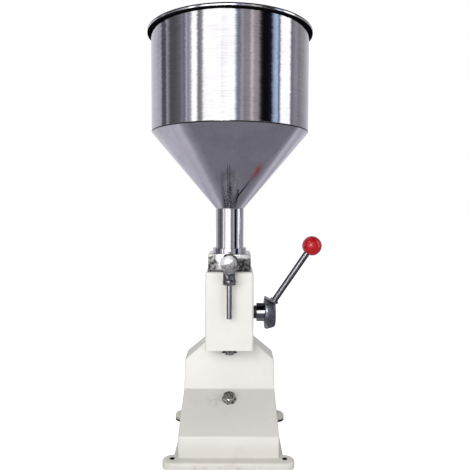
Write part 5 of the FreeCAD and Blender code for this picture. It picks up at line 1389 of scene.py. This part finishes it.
class FILLER_OT_stage(PieceOperator):
    """Set up the pale floor, the lamps, the reflection cards and the camera."""
    bl_idname = "filler.stage"
    bl_label = "Stage"

    def execute(self, context):
        self.floor()
        self.surround()
        self.table()
        self.ceiling()
        self.world()
        self.spark()
        for lamp in LAMPS:
            self.lamp(*lamp)
        self.camera()
        return {"FINISHED"}

    def floor(self):
        """A plane that is white to the camera and still takes the shadow."""
        deselect()
        bpy.ops.mesh.primitive_plane_add(size=14, location=(0, 0, 0))
        piece = named("floor")
        f = Finish("floor_paint")
        path = f.node("LightPath", {}, {}, "Is Camera Ray")
        paint = f.node("BsdfDiffuse", {}, {"Color": (0.86, 0.86, 0.86, 1)})
        glow = f.node("Emission", {}, {"Color": (1, 1, 1, 1), "Strength": path * 0.80})
        surface = f.node("AddShader", {}, {0: paint, 1: glow})
        f.node("OutputMaterial", {}, {"Surface": surface})
        piece.data.materials.append(f.material)

    def surround(self):
        """A tall ring with the bright and dark bands that the polished steel reflects."""
        deselect()
        bpy.ops.mesh.primitive_cylinder_add(vertices=180, radius=REACH, depth=CEILING + 0.2,
                                            end_fill_type="NOTHING",
                                            location=(0, CENTRE_Y, CEILING / 2 - 0.1))
        piece = named("surround")
        bpy.ops.object.transform_apply(location=True)
        f = Finish("surround_bands")
        forward = CENTRE_Y - f.coordinate("Y")
        share = f.node("Math", {"operation": "ARCTAN2"}, {0: f.coordinate("X"), 1: forward}) / math.pi
        left = f.ramp(share + 1.0, [(angle / 180 + 1, colour) for angle, colour in SURROUND_LEFT])
        right = f.ramp(share, [(angle / 180, colour) for angle, colour in SURROUND_RIGHT])
        bands = f.mix(left, right, f.step(share, -0.0001, 0.0001))
        streak = f.noise(0.09, 3.0, 0.6, (1.0, 1.0, 0.18))
        bands = f.mix((0, 0, 0, 1), bands, 0.45 + streak * 1.1)
        piece.data.materials.append(f.glow(bands))
        glossy_only(piece)

    def card(self, name, level):
        """A round card of the ring's size at one level."""
        deselect()
        bpy.ops.mesh.primitive_circle_add(vertices=96, radius=REACH, fill_type="NGON",
                                          location=(0, CENTRE_Y, level))
        piece = named(name)
        bpy.ops.object.transform_apply(location=True)
        return piece

    def table(self):
        """A card near the floor that the cone and the bead reflect."""
        piece = self.card("table_card", 0.5 * MM)
        f = Finish("table_tone")
        cloud = f.noise(0.25, 3.0)
        x, back = f.coordinate("X") + cloud * 0.03 - 0.015, f.coordinate("Y")
        near, depth = TABLE[0][0], TABLE[-1][0] - TABLE[0][0]
        stops = [((at - near) / depth, colour) for at, colour in TABLE]
        tint = f.ramp((back - x * 0.42 - near) / depth, stops)
        # A pale rear left corner, and in front a pale stretch that turns dark on the right
        corner = f.most(-0.43 - x, 0.0) * f.most(back - 0.19, 0.0)
        tint = f.mix(tint, (0.66, 0.64, 0.74, 1), f.step(corner, 0.0118, 0.0128))
        front = f.mix((0.95, 0.95, 0.97, 1), (0.26, 0.29, 0.36, 1), f.step(x, 0.05, 0.08))
        tint = f.mix(tint, front, f.step(back + cloud * 0.1, -0.62, -0.78))
        piece.data.materials.append(f.glow(tint))
        glossy_only(piece)

    def ceiling(self):
        """A dark card overhead."""
        piece = self.card("ceiling_card", CEILING)
        piece.data.materials.append(Finish("ceiling_tone").glow((0.02, 0.02, 0.022, 1)))
        glossy_only(piece)

    def spark(self):
        """A small bright card that puts the highlights on the knob and the cap."""
        deselect()
        bpy.ops.mesh.primitive_circle_add(vertices=48, radius=SPARK_RADIUS, fill_type="NGON",
                                          location=SPARK_PLACE)
        piece = named("spark_card")
        piece.scale = (2.0, 1.0, 1.0)
        piece.rotation_mode = "QUATERNION"
        aim = middle("ball_knob") - SPARK_PLACE
        piece.rotation_quaternion = aim.to_track_quat("-Z", "Y")
        bpy.ops.object.transform_apply(location=True, rotation=True, scale=True)
        piece.data.materials.append(Finish("spark_tone").glow(tone(WHITE, SPARK_STRENGTH)))
        glossy_only(piece)

    def world(self):
        """White to the camera and to gloss, a plain soft level to the object."""
        world = bpy.data.worlds.new("studio")
        bpy.context.scene.world = world
        f = Finish("studio", world)
        seen = f.most(*[f.node("LightPath", {}, {}, f"Is {ray} Ray")
                        for ray in ("Camera", "Glossy", "Transmission")])
        level = WORLD_LEVEL + seen * (1 - WORLD_LEVEL)
        sky = f.node("Background", {}, {"Color": (1, 1, 1, 1), "Strength": level})
        f.node("OutputWorld", {}, {"Surface": sky})

    def lamp(self, name, place, target, size, power):
        """A soft square lamp that points at the object."""
        deselect()
        bpy.ops.object.light_add(type="AREA", location=place)
        lamp = named(name)
        lamp.data.size = size
        lamp.data.energy = power
        lamp.rotation_mode = "QUATERNION"
        lamp.rotation_quaternion = (Vector(target) - Vector(place)).to_track_quat("-Z", "Y")
        lamp.visible_glossy = False

    def camera(self):
        """The photograph's view, from in front and a little above the nozzle."""
        deselect()
        bpy.ops.object.camera_add()
        camera = named("view_camera")
        camera.data.lens = LENS
        camera.data.sensor_width = SENSOR
        tilt = Matrix.Rotation(math.pi / 2 - CAMERA_DROP, 4, "X")
        roll = Matrix.Rotation(CAMERA_ROLL, 4, "Z")
        camera.matrix_world = Matrix.Translation(CAMERA_PLACE) @ tilt @ roll
        bpy.context.scene.camera = camera


class FILLER_PT_panel(bpy.types.Panel):
    """Sidebar panel that lists the filling machine's operators."""
    bl_idname = "FILLER_PT_panel"
    bl_label = "Filling Machine"
    bl_space_type = "VIEW_3D"
    bl_region_type = "UI"
    bl_category = "Filling Machine"

    def draw(self, context):
        for operator in OPERATORS:
            self.layout.operator(operator.bl_idname)
        for group in (context.scene.filler_sizes, context.scene.filler_colours):
            box = self.layout.box()
            for key in group.__annotations__:
                box.prop(group, key)


OPERATORS = (
    FILLER_OT_finishes,
    FILLER_OT_hopper,
    FILLER_OT_rim,
    FILLER_OT_collar,
    FILLER_OT_block,
    FILLER_OT_discharge,
    FILLER_OT_nozzle,
    FILLER_OT_hub,
    FILLER_OT_knob,
    FILLER_OT_bolts,
    FILLER_OT_stage,
)
CLASSES = (FillerSizes, FillerColours, *OPERATORS, FILLER_PT_panel)


def register():
    """Register the classes and hang the settings on the scene."""
    for item in CLASSES:
        bpy.utils.register_class(item)
    bpy.types.Scene.filler_sizes = bpy.props.PointerProperty(type=FillerSizes)
    bpy.types.Scene.filler_colours = bpy.props.PointerProperty(type=FillerColours)


def unregister():
    """Take back what register did."""
    del bpy.types.Scene.filler_colours
    del bpy.types.Scene.filler_sizes
    for item in reversed(CLASSES):
        bpy.utils.unregister_class(item)


def main():
    register()
    bpy.context.scene.view_settings.view_transform = "Standard"
    for operator in OPERATORS:
        group, name = operator.bl_idname.split(".")
        getattr(getattr(bpy.ops, group), name)()
    deselect()


if __name__ == "__main__":
    main()
